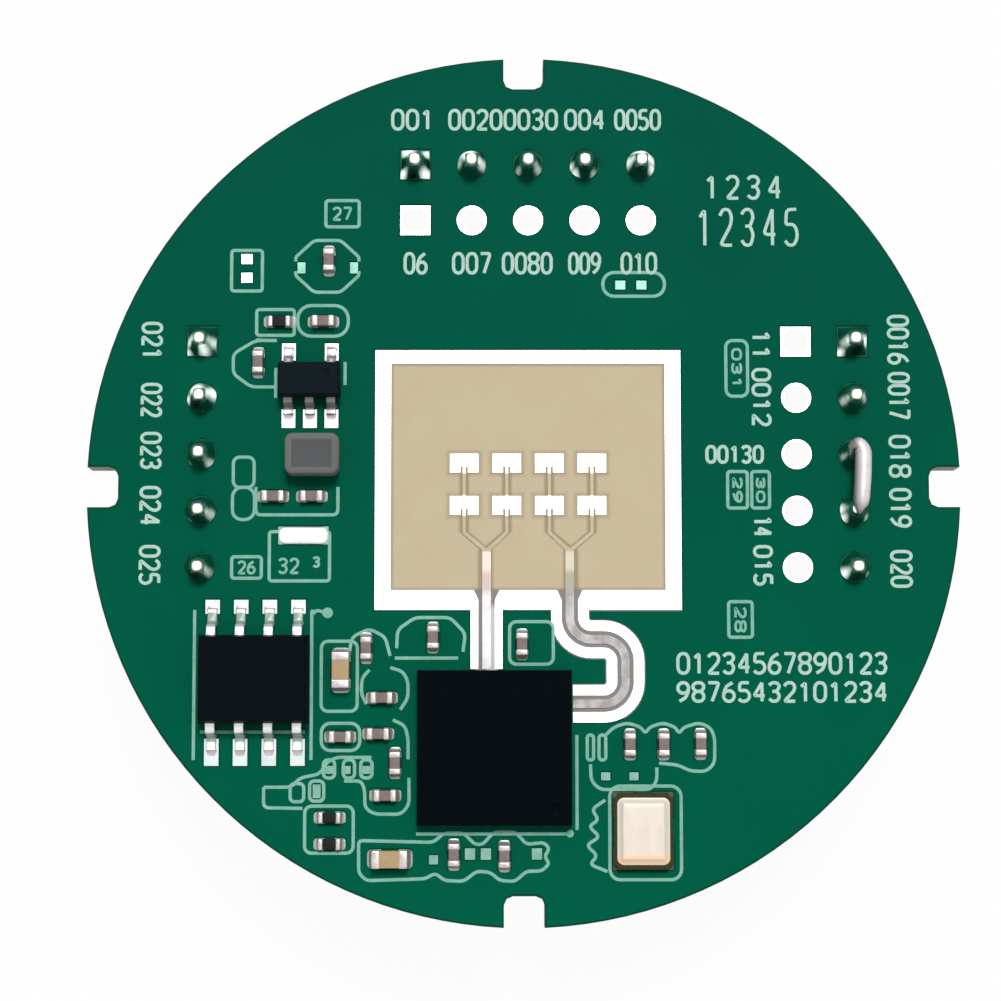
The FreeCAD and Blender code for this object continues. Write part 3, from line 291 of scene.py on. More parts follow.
def solder_wedge(shape, x, y, direction, half_width, run, rise, foot, paint):
    """A solder fillet against an upright face: a hollow quarter curve from the face down to the land.

    Along the curve the distance from the face is one minus the sine of the turn, and the height one minus
    its cosine. The run shrinks towards both sides as the root of one minus the fourth power of the place
    across.
    """
    across = np.linspace(-1, 1, 9)
    turn = quarter_turn(6)
    reach = run * (0.25 + 0.75 * np.sqrt(1 - across ** 4))
    out = reach[:, None] * (1 - np.sin(turn)) + 0.001
    up = rise * (1 - 0.35 * across ** 4)[:, None] * (1 - np.cos(turn)) + 0.004
    side = (across * half_width)[:, None] * (1 - 0.06 * np.sin(turn))
    heel = np.full((9, 1), -0.02)
    out = np.concatenate([out, heel, heel], 1)
    up = np.concatenate([up, up[:, -1:], np.zeros((9, 1))], 1)
    side = np.concatenate([side, side[:, -1:], side[:, :1]], 1)
    direction = np.asarray(direction, float)
    sideways = np.array([-direction[1], direction[0]])
    flat = out[..., None] * direction + side[..., None] * sideways + (x, y)
    shape.band(np.concatenate([flat, (foot + up)[..., None]], -1), paint)


# Finishes: numbers that vary over a surface, written as expressions
class Term:
    """A number that varies over the surface. Sums, products and the like add Math nodes."""

    def __init__(self, graph, socket):
        self.graph, self.socket = graph, socket

    def __add__(self, other):
        return self.graph.math("ADD", self, other)

    def __mul__(self, other):
        return self.graph.math("MULTIPLY", self, other)

    def __sub__(self, other):
        return self.graph.math("SUBTRACT", self, other)

    def __rsub__(self, other):
        return self.graph.math("SUBTRACT", other, self)

    def __abs__(self):
        return self.graph.math("ABSOLUTE", self)

    __radd__, __rmul__ = __add__, __mul__

    def above(self, edge, soft):
        """0 below the edge and 1 above it, with a soft step."""
        return self.graph.math("MULTIPLY_ADD", self - edge, 1 / soft, 0.5, clamp=True)

    def below(self, edge, soft):
        """1 below the edge and 0 above it, with a soft step."""
        return self.graph.math("MULTIPLY_ADD", self - edge, -1 / soft, 0.5, clamp=True)


class Graph:
    """The nodes of one shader tree."""

    def __init__(self, tree):
        self.tree = tree

    def first(self, kind):
        """The node of a kind that the tree was made with."""
        return next(node for node in self.tree.nodes if node.type == kind)

    def link(self, value, socket):
        """Leads a term or a socket into a socket."""
        self.tree.links.new(getattr(value, "socket", value), socket)

    def node(self, kind, settings=None, inputs=None):
        """Any node: its type, its settings, then the values or links of its sockets by name or number."""
        made = self.tree.nodes.new("ShaderNode" + kind)
        for name, value in (settings or {}).items():
            setattr(made, name, value)
        for key, value in (inputs or {}).items():
            if isinstance(value, (Term, bpy.types.NodeSocket)):
                self.link(value, made.inputs[key])
            else:
                made.inputs[key].default_value = value
        return made

    def math(self, operation, *values, clamp=False):
        """A Math node on numbers or terms."""
        made = self.node("Math", {"operation": operation, "use_clamp": clamp}, dict(enumerate(values)))
        return Term(self, made.outputs[0])

    def seen(self):
        """1 where the camera, a mirror or glass sees the surface, and 0 for the light that it gives."""
        rays = self.node("LightPath").outputs
        camera, mirror, glass = (Term(self, rays[name]) for name in (
            "Is Camera Ray", "Is Glossy Ray", "Is Transmission Ray"))
        return self.math("MAXIMUM", self.math("MAXIMUM", camera, mirror), glass)


class Finish(Graph):
    """A material built round one principled shader."""

    def __init__(self, name, color, roughness=0.5, metallic=0.0, specular=0.5):
        self.material = bpy.data.materials.new(name)
        self.material.use_nodes = True
        super().__init__(self.material.node_tree)
        self.shader = self.first("BSDF_PRINCIPLED")
        for socket, value in (("Base Color", (*linear(color), 1.0)), ("Roughness", roughness),
                              ("Metallic", metallic), ("Specular IOR Level", specular)):
            self.shader.inputs[socket].default_value = value

    def place(self):
        """Object coordinates in millimetres, as a vector socket."""
        where = self.node("TexCoord").outputs["Object"]
        return self.node("VectorMath", {"operation": "SCALE"}, {0: where, "Scale": 1 / MM}).outputs[0]

    def axes(self):
        """x, y and z over the surface in millimetres."""
        split = self.node("SeparateXYZ", None, {0: self.place()})
        return [Term(self, socket) for socket in split.outputs]

    def noise(self, scale, detail=2.0, roughness=0.5, stretch=(1, 1, 1)):
        """A cloud pattern from 0 to 1; scale is in waves per millimetre."""
        where = self.node("VectorMath", {"operation": "MULTIPLY"}, {0: self.place(), 1: stretch}).outputs[0]
        made = self.node("TexNoise", None, {"Vector": where, "Scale": scale, "Detail": detail,
                                            "Roughness": roughness})
        return Term(self, made.outputs["Fac"])

    def wave(self, along, length):
        """The sine of a place, with the given wave length in millimetres."""
        return self.math("SINE", along * (2 * math.pi / length))

    def beyond(self, x, y, low, high):
        """How far a place lies beyond the nearest side of a box in the plane, less than 0 inside it."""
        wide, tall = high[0] - low[0], high[1] - low[1]
        aside = abs(x - (low[0] + wide / 2)) - wide / 2
        along = abs(y - (low[1] + tall / 2)) - tall / 2
        return self.math("MAXIMUM", aside, along)

    def inside(self, x, y, low, high):
        """1 inside a box in the plane and 0 outside it."""
        return self.beyond(x, y, low, high).below(0.0, 0.04)

    def mix(self, mask, first, second):
        """A colour between two colours: the first where the mask is 0."""
        ends = [v if isinstance(v, bpy.types.NodeSocket) else (*linear(v), 1.0) for v in (first, second)]
        return self.node("Mix", {"data_type": "RGBA"}, {0: mask, 6: ends[0], 7: ends[1]}).outputs[2]

    def paint(self, color):
        """Drives the base colour."""
        return self.drive("Base Color", color)

    def mottle(self, dark, light, *noise):
        """Paints clouds between two colours and gives their pattern back."""
        cloud = self.noise(*noise)
        self.paint(self.mix(cloud, dark, light))
        return cloud

    def drive(self, socket, term):
        """Leads a term or a socket into a socket of the shader."""
        self.link(term, self.shader.inputs[socket])
        return self

    def bump(self, height, depth):
        """Raises the surface by a height pattern, depth in millimetres."""
        made = self.node("Bump", None, {"Strength": 1.0, "Distance": depth * MM, "Height": height})
        return self.drive("Normal", made.outputs[0])


def linear(color):
    """Screen colour as a number from 0 to 255 each, made linear by the usual curve."""
    c = np.asarray(color, float) / 255
    return tuple(float(v) for v in np.where(c <= 0.04045, c / 12.92, ((c + 0.055) / 1.055) ** 2.4))


MASK_GREEN = (0, 92, 68)


def mask_finish():
    """Green solder mask: nearly even, with soft clouds, a painted light falloff that is a little lighter
    towards the foot of the board, and a fine ripple.
    """
    f = Finish("Solder mask", MASK_GREEN, 0.5, specular=0.012)
    # painted light falloff: the y term makes the green a little lighter towards the foot of the board
    cloud = f.noise(0.16, 3.0) * 0.7 - f.axes()[1] * 0.02 + 0.15
    f.paint(f.mix(cloud, (0, 84, 66), (0, 97, 70)))
    return f.bump(f.noise(3.0, 2.0), 0.002)


def antenna_field(f, x, y):
    """Distances that the antenna finishes share: to the nearest patch, and to the nearest branch or feed.

    Both antennas fold onto one by the distance from the array's middle, then both columns onto one by the
    distance from the feed. The branch runs at the column's place down to the bend, then slants to the feed.
    """
    fold = abs(abs(x - ARRAY_X) - PATCH_PITCH)
    aside = abs(fold - PATCH_PITCH / 2) - PATCH_HALF_WIDTH
    along = abs(abs(y - ARRAY_Y) - PATCH_PITCH / 2) - PATCH_HALF_HEIGHT
    slant = f.math("MULTIPLY_ADD", y - MERGE_Y, 1 / (BRANCH_Y - MERGE_Y), 0.0, clamp=True)
    return f.math("MAXIMUM", aside, along), abs(fold - slant * (PATCH_PITCH / 2))


def laminate_finish():
    """Bare laminate: tan with a faint weave in the window, with painted shade beside the copper and along the
    inner edge of the window.

    Elsewhere on top it is dark where the coat stops short of a land, and grey between a line and its
    grounds. The rim shows its layers, and the back is coated green.
    """
    f = Finish("Laminate", (206, 190, 160), 0.55, specular=0.06)
    x, y, z = f.axes()
    weave = f.wave(x, 0.55) * f.wave(y, 0.55)
    tan = f.mix(weave * 0.05 + f.noise(0.5, 4.0, 0.6) * 0.8, (200, 183, 152), (212, 197, 166))
    patch, line = antenna_field(f, x, y)
    # painted shade: the laminate round each patch is darker
    tan = f.mix(patch.below(0.13, 0.2) * 0.75, tan, (170, 156, 132))
    feed = y.below(MERGE_Y, 0.2)
    # painted shade: darker along the branches and the feed lines
    beside = (line - feed * 0.12).below(0.22, 0.12) * y.below(ARRAY_Y + PATCH_PITCH / 2, 0.1)
    tan = f.mix(beside * 0.85, tan, (158, 146, 118))
    # painted shade: a thin darker line along the inside of the window, by the tin border
    edge = f.beyond(x, y, (WINDOW_LEFT, WINDOW_FOOT), (WINDOW_RIGHT, WINDOW_HEAD))
    tan = f.mix(edge.above(-0.09, 0.14) * 0.75, tan, (142, 136, 124))
    window = x.above(WINDOW_LEFT - 0.1, 0.05) * x.below(WINDOW_RIGHT + 0.1, 0.05)
    window = window * y.above(WINDOW_FOOT - 0.02, 0.1) * y.below(WINDOW_HEAD + 0.1, 0.05)
    near_left = abs(x - LEFT_FEED).below(0.5, 0.02)
    near_right = x.above(RIGHT_FEED_SIDE, 0.02) * x.below(BORDER.high[0], 0.02)
    below_window = y.above(CHIP_PORT_FOOT, 0.02) * y.below(WINDOW_FOOT + 0.02, 0.1)
    channel = f.math("MAXIMUM", near_left, near_right) * below_window
    pale_side = x.above(LEFT_FEED, 0.1) * x.below(0.0, 0.1) * y.below(-5.3, 0.3)
    top = f.mix(channel, (4, 70, 52), f.mix(pale_side, (143, 139, 137), (208, 207, 205)))
    layers = f.wave(z, 0.2) * 0.125 + 0.125 + f.noise(2.0, 3.0, 0.6, (1, 1, 8)) * 0.6
    side = f.mix(layers, (118, 134, 116), (178, 186, 162))
    shown = f.mix(z.above(BOARD_TOP - 0.03, 0.02), side, f.mix(window, top, tan))
    f.paint(f.mix(z.below(BOARD_FOOT + 0.02, 0.02), shown, MASK_GREEN))
    return f.bump(weave * 0.5 + f.noise(6.0) * 0.5, 0.004)


def tin_finish():
    """Bright tin: metal with soft clouds in its roughness."""
    f = Finish("Tinned copper", (252, 252, 252), 0.4, metallic=0.9)
    cloud = f.mottle((242, 241, 243), (252, 252, 252), 1.2, 3.0)
    f.drive("Roughness", cloud * 0.2 + 0.32)
    return f.bump(f.noise(5.0, 2.0), 0.002)


def open_hole_finish():
    """Open plated holes: white tin, and inside the bore so smooth that it mirrors what lies below."""
    f = Finish("Open plated holes", (254, 252, 254), 0.35, metallic=1.0)
    bore = f.axes()[2].below(LAND_TOP - 0.04, 0.02)
    f.paint(f.mix(bore, f.mix(f.noise(1.2, 3.0), (248, 246, 248), (254, 253, 254)), (255, 255, 255)))
    return f.drive("Roughness", 0.36 - bore * 0.34)


def covered_land_finish():
    """Plated holes of the pins: green at the top, a painted reflection of the green coat, plain tin below."""
    f = Finish("Covered lands", (60, 96, 82), 0.4, metallic=0.2, specular=0.1)
    low = f.axes()[2].below(BOARD_FOOT + 0.4, 0.1)
    # painted reflection: the land's top is green like the coat it would mirror
    return f.paint(f.mix(low, f.mix(f.noise(3.0), (2, 72, 54), (16, 90, 70)), (236, 236, 236)))


# Boxes over the lands, as their low and high corners in the plane
BARE_LANDS = ((-13.4, 8.6), (-11.5, 11.0))
MEMORY_LANDS = ((-14.8, -12.7), (-9.2, -4.9))
REGULATOR_LANDS = ((-11.3, 2.4), (-7.9, 7.0))
CRYSTAL_LANDS = ((3.6, -17.4), (6.9, -13.25))


def land_finish():
    """Flat lands: white without a part; grey-white by the leads, greenish elsewhere and olive at the crystal,
    all painted shade.
    """
    f = Finish("Lands", (240, 241, 242), 0.4, metallic=0.8)
    x, y = f.axes()[:2]
    # painted shade: lands under parts are dimmed, grey-white by the leads, greenish under small parts, olive
    # under the crystal
    by_leads = f.math("MAXIMUM", f.inside(x, y, *MEMORY_LANDS), f.inside(x, y, *REGULATOR_LANDS))
    below_crystal = f.inside(x, y, *CRYSTAL_LANDS)
    plain = f.mix(f.noise(2.5, 3.0), (78, 128, 110), (134, 174, 158))
    cloud = f.noise(1.5, 3.0)
    plain = f.mix(f.inside(x, y, *BARE_LANDS), plain, f.mix(cloud, (212, 216, 216), (244, 245, 246)))
    plain = f.mix(by_leads, plain, f.mix(cloud, (168, 182, 178), (222, 228, 228)))
    f.paint(f.mix(below_crystal, plain, (60, 72, 48)))
    return f.drive("Metallic", 0.8 - below_crystal * 0.8 - by_leads * 0.2)


def antenna_finish(name, lit_start, in_window, dull, bright):
    """Tinned antenna copper: white patches, branches close to the laminate, and a feed line in stretches
    whose start is a painted highlight.
    """
    f = Finish(name, (252, 252, 252), 0.42, metallic=0.4, specular=0.2)
    x, y = f.axes()[:2]
    branch = f.mix(f.noise(0.8), (152, 141, 116), (178, 167, 140))
    # painted highlight: the feed just below where the branches meet takes the lighter lit_start colour
    run = f.mix(y.above(MERGE_Y - 0.95, 0.3), in_window, lit_start)
    run = f.mix(y.above(MERGE_Y - 0.08, 0.1), run, branch)
    line = f.mix(f.noise(1.6, 2.0).above(0.5, 0.25), dull, bright)
    run = f.mix(y.below(WINDOW_FOOT - 0.1, 0.3), run, line)
    f.paint(f.mix(antenna_field(f, x, y)[0].below(0.03, 0.05), run, (253, 253, 252)))
    return f.bump(f.noise(5.0, 2.0), 0.003)


def solder_finish():
    """Solder: grey and satin, a little uneven."""
    f = Finish("Solder", (176, 174, 170), 0.35, metallic=0.6, specular=0.3)
    f.drive("Roughness", f.noise(2.5, 3.0) * 0.25 + 0.25)
    return f.bump(f.noise(4.0, 3.0, 0.6), 0.02)


def joint_finish():
    """Solder round the pins: green as a painted reflection of the coat, painted highlights where its stored
    light is high, painted shade below 0.
    """
    f = Finish("Pin solder", (60, 90, 78), 0.35, metallic=0.15, specular=0.12)
    cloud = f.noise(5.0, 3.0)
    painted_light = Term(f, f.node("Attribute", {"attribute_name": "painted_light"}).outputs["Fac"]) + cloud * 0.16 - 0.08
    half_lit = f.mix(painted_light.above(0.3, 0.45), (4, 80, 60), (134, 176, 162))
    lit = f.mix(painted_light.above(0.72, 0.4), half_lit, (246, 248, 247))
    f.paint(f.mix(painted_light.below(-0.4, 0.6), lit, (10, 20, 18)))
    # painted highlights are also given as emission, so they glow without a lamp
    f.drive("Emission Color", f.mix(painted_light.above(0.55, 0.7), (0, 0, 0), (232, 240, 237)))
    f.shader.inputs["Emission Strength"].default_value = 0.9
    return f.drive("Roughness", cloud * 0.2 + 0.3)


def link_finish():
    """Solder bar between two pins: pinkish white, with painted shade, darker towards its low side and dark
    grey on its left.
    """
    f = Finish("Solder bar", (216, 204, 208), 0.45, metallic=0.35, specular=0.2)
    x, y = f.axes()[:2]
    pale = f.mix(f.noise(2.0), (216, 204, 208), (242, 236, 238))
    # painted shade: darker towards the foot of the board
    pale = f.mix(y.below(-0.95, 0.7), pale, (184, 168, 172))
    # painted shade: dark grey on the bar's left side
    return f.paint(f.mix(x.above(14.74, 0.35), (120, 126, 120), pale))


def pin_finish():
    """Tinned pins with fine drawing lines along their length."""
    f = Finish("Tinned pins", (226, 222, 214), 0.3, metallic=1.0)
    lines = f.noise(9.0, 2.0, 0.5, (1, 1, 0.03))
    return f.drive("Roughness", lines * 0.25 + 0.18).bump(lines, 0.004)


def plastic_finish(name, color, speckle, roughness=0.62):
    """Moulded plastic with a fine grain and a few lighter specks of filler."""
    f = Finish(name, color, roughness, specular=0.02)
    grain = f.noise(14.0, 3.0, 0.6)
    return f.paint(f.mix(grain.above(0.66, 0.12), color, speckle)).bump(grain, 0.006)


def ceramic_finish(name, dark, light):
    """Fired ceramic: a fine mottle between two close tones."""
    f = Finish(name, light, 0.5, specular=0.08)
    f.mottle(dark, light, 5.0, 4.0, 0.6)
    return f.bump(f.noise(12.0, 2.0), 0.004)


def lead_finish():
    """Tinned leads: bright, with painted shade: greenish at the bends of the memory chip and grey close to
    the regulator.
    """
    f = Finish("Tinned leads", (246, 246, 248), 0.4, metallic=0.9)
    x, y = f.axes()[:2]
    memory, regulator = Box("memory_chip_body"), Box("regulator_body")
    (left, foot), (right, head) = memory.low[:2], memory.high[:2]
    # painted shade: greenish on the bends of the memory chip's leads, above and below its body
    green = f.math("MAXIMUM", f.inside(x, y, (left, head + 0.48), (right, head + 1.02)),
                   f.inside(x, y, (left, foot - 0.8), (right, foot - 0.42)))
    # painted shade: grey on the regulator's leads close to its body
    grey = f.inside(x, y, regulator.low[:2] - (0, 0.5), regulator.high[:2] + (0, 0.3))
    cloud = f.noise(1.2, 3.0)
    tin = f.mix(cloud, (246, 246, 248), (220, 220, 224))
    tin = f.mix(green * 0.8, tin, f.mix(f.noise(4.0, 2.0), (96, 132, 116), (158, 178, 168)))
    f.paint(f.mix(grey, tin, (136, 132, 136)))
    f.drive("Metallic", 0.9 - f.math("MAXIMUM", green, grey) * 0.5)
    f.drive("Roughness", cloud * 0.2 + 0.32)
    return f.bump(f.noise(5.0, 2.0), 0.002)


def cap_finish():
    """Tinned end of a chip part: satin metal with a soft mottle."""
    f = Finish("Tinned ends", (220, 214, 212), 0.34, metallic=0.7)
    return f.drive("Roughness", f.mottle((160, 150, 148), (222, 214, 212), 3.0, 3.0) * 0.25 + 0.25)


def lid_finish():
    """Metal lid of the crystal: warm satin metal with fine rolling lines, and a painted reflection in peach
    along its lower edge.
    """
    f = Finish("Crystal lid", (234, 221, 206), 0.4, metallic=0.2, specular=0.06)
    lines = f.noise(3.0, 3.0, 0.6, (1, 0.3, 1))
    # painted reflection: a peach band along the lid's lower edge
    warm = f.axes()[1].below(Box("crystal_lid").low[1] + 0.5, 0.2)
    f.paint(f.mix(warm * 0.8, f.mix(lines, (222, 210, 196), (238, 228, 216)), (250, 214, 182)))
    return f.drive("Roughness", lines * 0.2 + 0.3)


def print_finish(name, thin, full):
    """Board print, slightly uneven where the ink is thin and the coat shows through."""
    f = Finish(name, full, 0.6, specular=0.05)
    f.mottle(thin, full, 2.2, 3.0, 0.7)
    return f


MAKERS = {
    "mask": (mask_finish,),
    "laminate": (laminate_finish,),
    "tin": (tin_finish,),
    "covered lands": (covered_land_finish,),
    "left line": (antenna_finish, "Left antenna", (218, 200, 188), (192, 172, 168), (204, 203, 203),
                  (222, 221, 221)),
    "open holes": (open_hole_finish,),
    "lands": (land_finish,),
    "right line": (antenna_finish, "Right antenna", (190, 184, 164), (156, 152, 136), (148, 144, 142),
                   (182, 178, 176)),
    "solder": (solder_finish,),
    "joints": (joint_finish,),
    "link": (link_finish,),
    "pins": (pin_finish,),
    "header": (plastic_finish, "Header plastic", (26, 26, 28), (44, 44, 46)),
    "radar": (plastic_finish, "Radar chip mould", (1, 7, 11), (9, 15, 20), 0.5),
    "mould": (plastic_finish, "Package mould", (7, 14, 18), (18, 26, 32), 0.5),
    "regulator": (plastic_finish, "Regulator mould", (17, 27, 32), (28, 38, 44), 0.5),
    "leads": (lead_finish,),
    "coil": (plastic_finish, "Pressed core", (92, 94, 96), (106, 107, 108), 0.7),
    # the core's rim and walls are a lighter copy of its grey, a painted highlight
    "coil rim": (plastic_finish, "Pressed core rim", (112, 114, 112), (126, 127, 124), 0.7),
    # the crystal base's dark olive is partly the ceramic's tone and partly painted shade round the lid
    "base": (ceramic_finish, "Crystal base", (44, 48, 24), (72, 70, 42)),
    "lid": (lid_finish,),
    "tan": (ceramic_finish, "Tan ceramic", (178, 150, 112), (198, 172, 134)),
    "grey": (ceramic_finish, "Grey ceramic", (118, 102, 98), (152, 136, 132)),
    "black": (ceramic_finish, "Resistor coat", (22, 24, 24), (40, 42, 42)),
    "ends": (cap_finish,),
    "outline print": (print_finish, "Outline print", (104, 170, 148), (162, 208, 192)),
    "number print": (print_finish, "Number print", (150, 198, 180), (212, 232, 223)),
}
MADE = {}


def finish(name):
    """The material of that name, made when first asked for."""
    if name not in MADE:
        maker, *values = MAKERS[name]
        MADE[name] = maker(*values).material
    return MADE[name]


# Sizes and colours that a user may change
class RadarModuleSettings(PropertyGroup):
    print_width: FloatProperty(name="Print width", description="Width of a printed line", default=0.15 * MM,
                               min=0.05 * MM, unit="LENGTH")
    solder_rise: FloatProperty(name="Solder rise", description="Height of a pin joint above the board",
                               default=1.1 * MM, min=0.2 * MM, unit="LENGTH")
    floor_color: FloatVectorProperty(name="Floor", description="Colour of the floor", subtype="COLOR",
                                     default=(0.93, 0.93, 0.93), min=0.0, max=1.0)
    sky_level: FloatProperty(name="Sky level", description="Even light from all sides", default=0.42, min=0.0)
    key_level: FloatProperty(name="Key level", description="Light from the top side of the picture",
                             default=1.95, min=0.0)


# Pieces
class RADAR_OT_finishes(Operator):
    """Gives the board, its coat, the antennas and the lands their finishes"""

    bl_idname = "radar.finishes"
    bl_label = "Board finishes"

    def execute(self, context):
        for node, name in (("circuit_board", "laminate"), ("solder_mask_front", "mask"),
                           ("antenna_ground_border", "tin"), ("transmit_antenna", "left line"),
                           ("receive_antenna", "right line"), ("component_lands", "lands"),
                           ("radar_chip_contacts", "leads"), ("inductor_terminals", "leads")):
            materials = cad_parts[node].data.materials
            materials.clear()
            materials.append(finish(name))
        return {"FINISHED"}


class RADAR_OT_plated_holes(Operator):
    """Makes the plated holes: a land on each face, turned about the hole, with the barrel between them"""

    bl_idname = "radar.plated_holes"
    bl_label = "Plated holes"

    def execute(self, context):
        lip, edge, angle = 0.03, 0.012, full_turn(48)
        under = BOARD_FOOT - COPPER
        circle = np.c_[np.cos(angle), np.sin(angle)]
        hole, barrel = BORE_RADIUS * circle, (BORE_RADIUS + PLATING) * circle
        for node in (*SPARE_ROWS, *(f"{side}_header_eyelets" for side in SIDES)):
            shape = Shape()
            for i, (x, y) in enumerate(row_places(node)):
                land = LAND_RADIUS * (circle if i else squaring(angle)[:, None] * circle)
                shape.band(stacked((
                    (hole, under + lip), (hole * 1.04, under), (land * 0.985, under), (land, under + edge),
                    (land, BOARD_FOOT), (barrel, BOARD_FOOT), (barrel, BOARD_TOP), (land, BOARD_TOP),
                    (land, LAND_TOP - edge), (land * 0.985, LAND_TOP), (hole * 1.06, LAND_TOP),
                    (hole, LAND_TOP - lip)), x, y), loop=True)
            cover = "open holes" if node in SPARE_ROWS else "covered lands"
            shape.make(node + "_plated", [cover], "tinned_copper", [node])
        return {"FINISHED"}


class RADAR_OT_pins(Operator):
    """Makes the header pins: a square bar with eased edges that narrows at both ends"""

    bl_idname = "radar.pins"
    bl_label = "Header pins"

    def execute(self, context):
        tip, draw, sunk = 0.4, 0.16, 0.35
        for side in SIDES:
            node = f"{side}_header_pins"
            box = Box(node)
            foot, width = box.foot, box.width
            shape = Shape()
            for i, (x, y) in enumerate(pin_places(side)):
                # the third and fourth pin of the right row end inside their solder
                top = box.head - (sunk if side == "right" and i in (2, 3) else 0)
                levels = ((draw + 0.04, 0.05, foot), (draw, 0.05, foot + 0.05), (0.02, 0.05, foot + tip),
                          (0, 0.06, foot + tip + 0.1), (0, 0.06, top - 0.45), (0.03, 0.14, top - 0.3),
                          (0.05, 0.19, top - 0.14), (0.08, 0.20, top - 0.05), (0.13, 0.17, top))
                shape.band(stacked([(rounded_rectangle(width - 2 * inset, width - 2 * inset, corner), z)
                                    for inset, corner, z in levels], x, y))
            shape.make(f"{side}_pins_tinned", ["pins"], "pin_metal", [node])
        return {"FINISHED"}


# Painted highlights and painted shade on each joint: place from the joint's middle, size and strength of each
# spot; a strength below 0 is painted shade
PAINTED_JOINT_LIGHT = {
    "top": (
        ((-0.33, 0.47, 0.38, 1.0), (0.54, 0.45, 0.28, 0.8), (-0.62, -0.48, 0.31, 1.0),
         (0.46, -0.50, 0.34, 0.9), (-0.62, 0.02, 0.22, -0.9), (0.05, -0.12, 0.26, -0.9),
         (-0.10, -0.62, 0.22, -0.9), (0.68, 0.0, 0.18, -0.9)),
        ((-0.20, 0.32, 0.40, 0.9), (0.44, -0.09, 0.29, 0.7), (-0.58, 0.0, 0.27, 0.5),
         (-0.1, -0.25, 0.2, -0.5)),
        ((-0.44, -0.35, 0.20, 0.45), (0.44, -0.30, 0.25, 0.5), (-0.05, -0.25, 0.18, -0.5)),
        ((-0.68, -0.15, 0.25, 0.85), (-0.42, -0.48, 0.27, 0.95), (0.40, -0.46, 0.27, 0.5),
         (-0.04, -0.22, 0.28, -1.0)),
        ((-0.05, 0.48, 0.38, 0.95), (-0.52, 0.05, 0.31, 0.8), (0.42, 0.10, 0.31, 0.9),
         (0.50, -0.26, 0.27, 0.85), (-0.05, -0.20, 0.26, -1.0))),
    "right": (
        ((0.60, -0.02, 0.29, 1.0), (-0.32, -0.14, 0.29, 0.65), (-0.62, -0.55, 0.27, 0.9),
         (0.14, -0.45, 0.30, -0.8)),
        ((-0.46, -0.20, 0.25, 0.5), (0.40, -0.12, 0.25, 0.45), (0.0, -0.28, 0.18, -0.4)),
        ((-0.46, -0.16, 0.22, 0.5), (-0.02, -0.20, 0.30, -1.0)),
        ((-0.70, 0.04, 0.29, 0.95), (-0.56, -0.36, 0.29, 0.9), (0.58, -0.34, 0.25, 0.5),
         (-0.08, -0.22, 0.26, -0.7)),
        ((-0.50, -0.28, 0.29, 0.9), (0.55, -0.32, 0.22, 0.4), (0.02, -0.26, 0.28, -1.0))),
    "left": (
        ((-0.50, -0.10, 0.29, 0.75), (-0.66, -0.56, 0.27, 0.8), (0.12, -0.46, 0.29, 0.85),
         (0.54, -0.12, 0.27, 0.7), (-0.28, -0.32, 0.18, -0.7)),
        ((-0.18, 0.28, 0.38, 0.9), (-0.62, -0.12, 0.29, 0.85), (0.55, 0.16, 0.34, 0.95),
         (-0.16, -0.32, 0.26, -1.0), (0.02, -0.66, 0.18, 0.35)),
        ((-0.58, -0.50, 0.22, 0.4), (0.42, -0.46, 0.27, 0.55), (-0.14, -0.22, 0.20, -0.7)),
        ((0.46, -0.20, 0.29, 0.55), (-0.52, -0.50, 0.25, 0.45), (-0.12, -0.24, 0.26, -1.0)),
        ((0.36, -0.22, 0.27, 0.5), (-0.14, -0.32, 0.26, -1.0))),
}


def store_painted_light(piece, places, painted_spots):
    """Stores painted light on each point of the joints: painted highlights, and painted shade where it is
    below 0.

    A spot gives its strength times e to the minus square of the distance over its size. The highest and the
    lowest, for spots of less than no strength, which are painted shade, are added.
    """
    count = len(piece.data.vertices)
    points = np.empty(count * 3)
    piece.data.vertices.foreach_get("co", points)
    flat = points.reshape(-1, 3)[:, :2] / MM
    light, dark = np.zeros(count), np.zeros(count)
    for place, spots in zip(places, painted_spots):
        for dx, dy, size, strength in spots:
            glow = strength * np.exp(-((flat - place - (dx, dy)) ** 2).sum(1) / size ** 2)
            light, dark = np.maximum(light, glow), np.minimum(dark, glow)
    layer = piece.data.attributes.new("painted_light", "FLOAT", "POINT")
    layer.data.foreach_set("value", light + dark)


class RADAR_OT_pin_joints(Operator):
    """Makes the solder joints: a turned hill round each pin, steep above and spreading to its land below"""

    bl_idname = "radar.pin_joints"
    bl_label = "Pin joints"

    def execute(self, context):
        rise = context.scene.radar_module.solder_rise / MM
        foot, neck, root = LAND_RADIUS * 0.985, 0.42, BORE_RADIUS * 0.98
        # the hill narrows from its foot to its neck as the power 1.6 of the share of its height that is left
        t = np.linspace(0, 1, 21)
        hill = neck + (foot - neck) * (1 - t) ** 1.6
        chance = np.random.default_rng(7)
        for side in SIDES:
            places = pin_places(side)
            shape = Shape()
            for i, (x, y) in enumerate(places):
                height = rise * (0.86 + 0.14 * chance.random())
                top = LAND_TOP + height
                stem = np.array([[root, BOARD_FOOT - COPPER], [root, LAND_TOP - 0.01]])
                crown = np.array([[neck * 0.8, top + 0.05], [neck * 0.45, top + 0.07]])
                profile = np.concatenate([stem, np.c_[hill, LAND_TOP + height * t], crown])
                phase, lobes = chance.random() * 6.28, chance.integers(2, 5)

                def ripple(angle, z):
                    """A wave round the joint, strongest low down; on a square land the foot is square."""
                    low = np.clip(1 - (z - LAND_TOP) / height, 0, 1) * (z > LAND_TOP - 0.005)
                    wave = 1 - 0.07 * low * (0.5 + 0.5 * np.sin(lobes * angle + phase))
                    return wave if i else wave * (1 + low ** 2 * (squaring(angle) - 1))

                shape.band(turned_rings(profile, x, y, 48, ripple))
            piece = shape.make(f"{side}_joints_soldered", ["joints"], "solder", [f"{side}_header_solder"], 60)
            # painted light: the joints' highlights and shade are stored on their points
            store_painted_light(piece, places, PAINTED_JOINT_LIGHT[side])
        return {"FINISHED"}


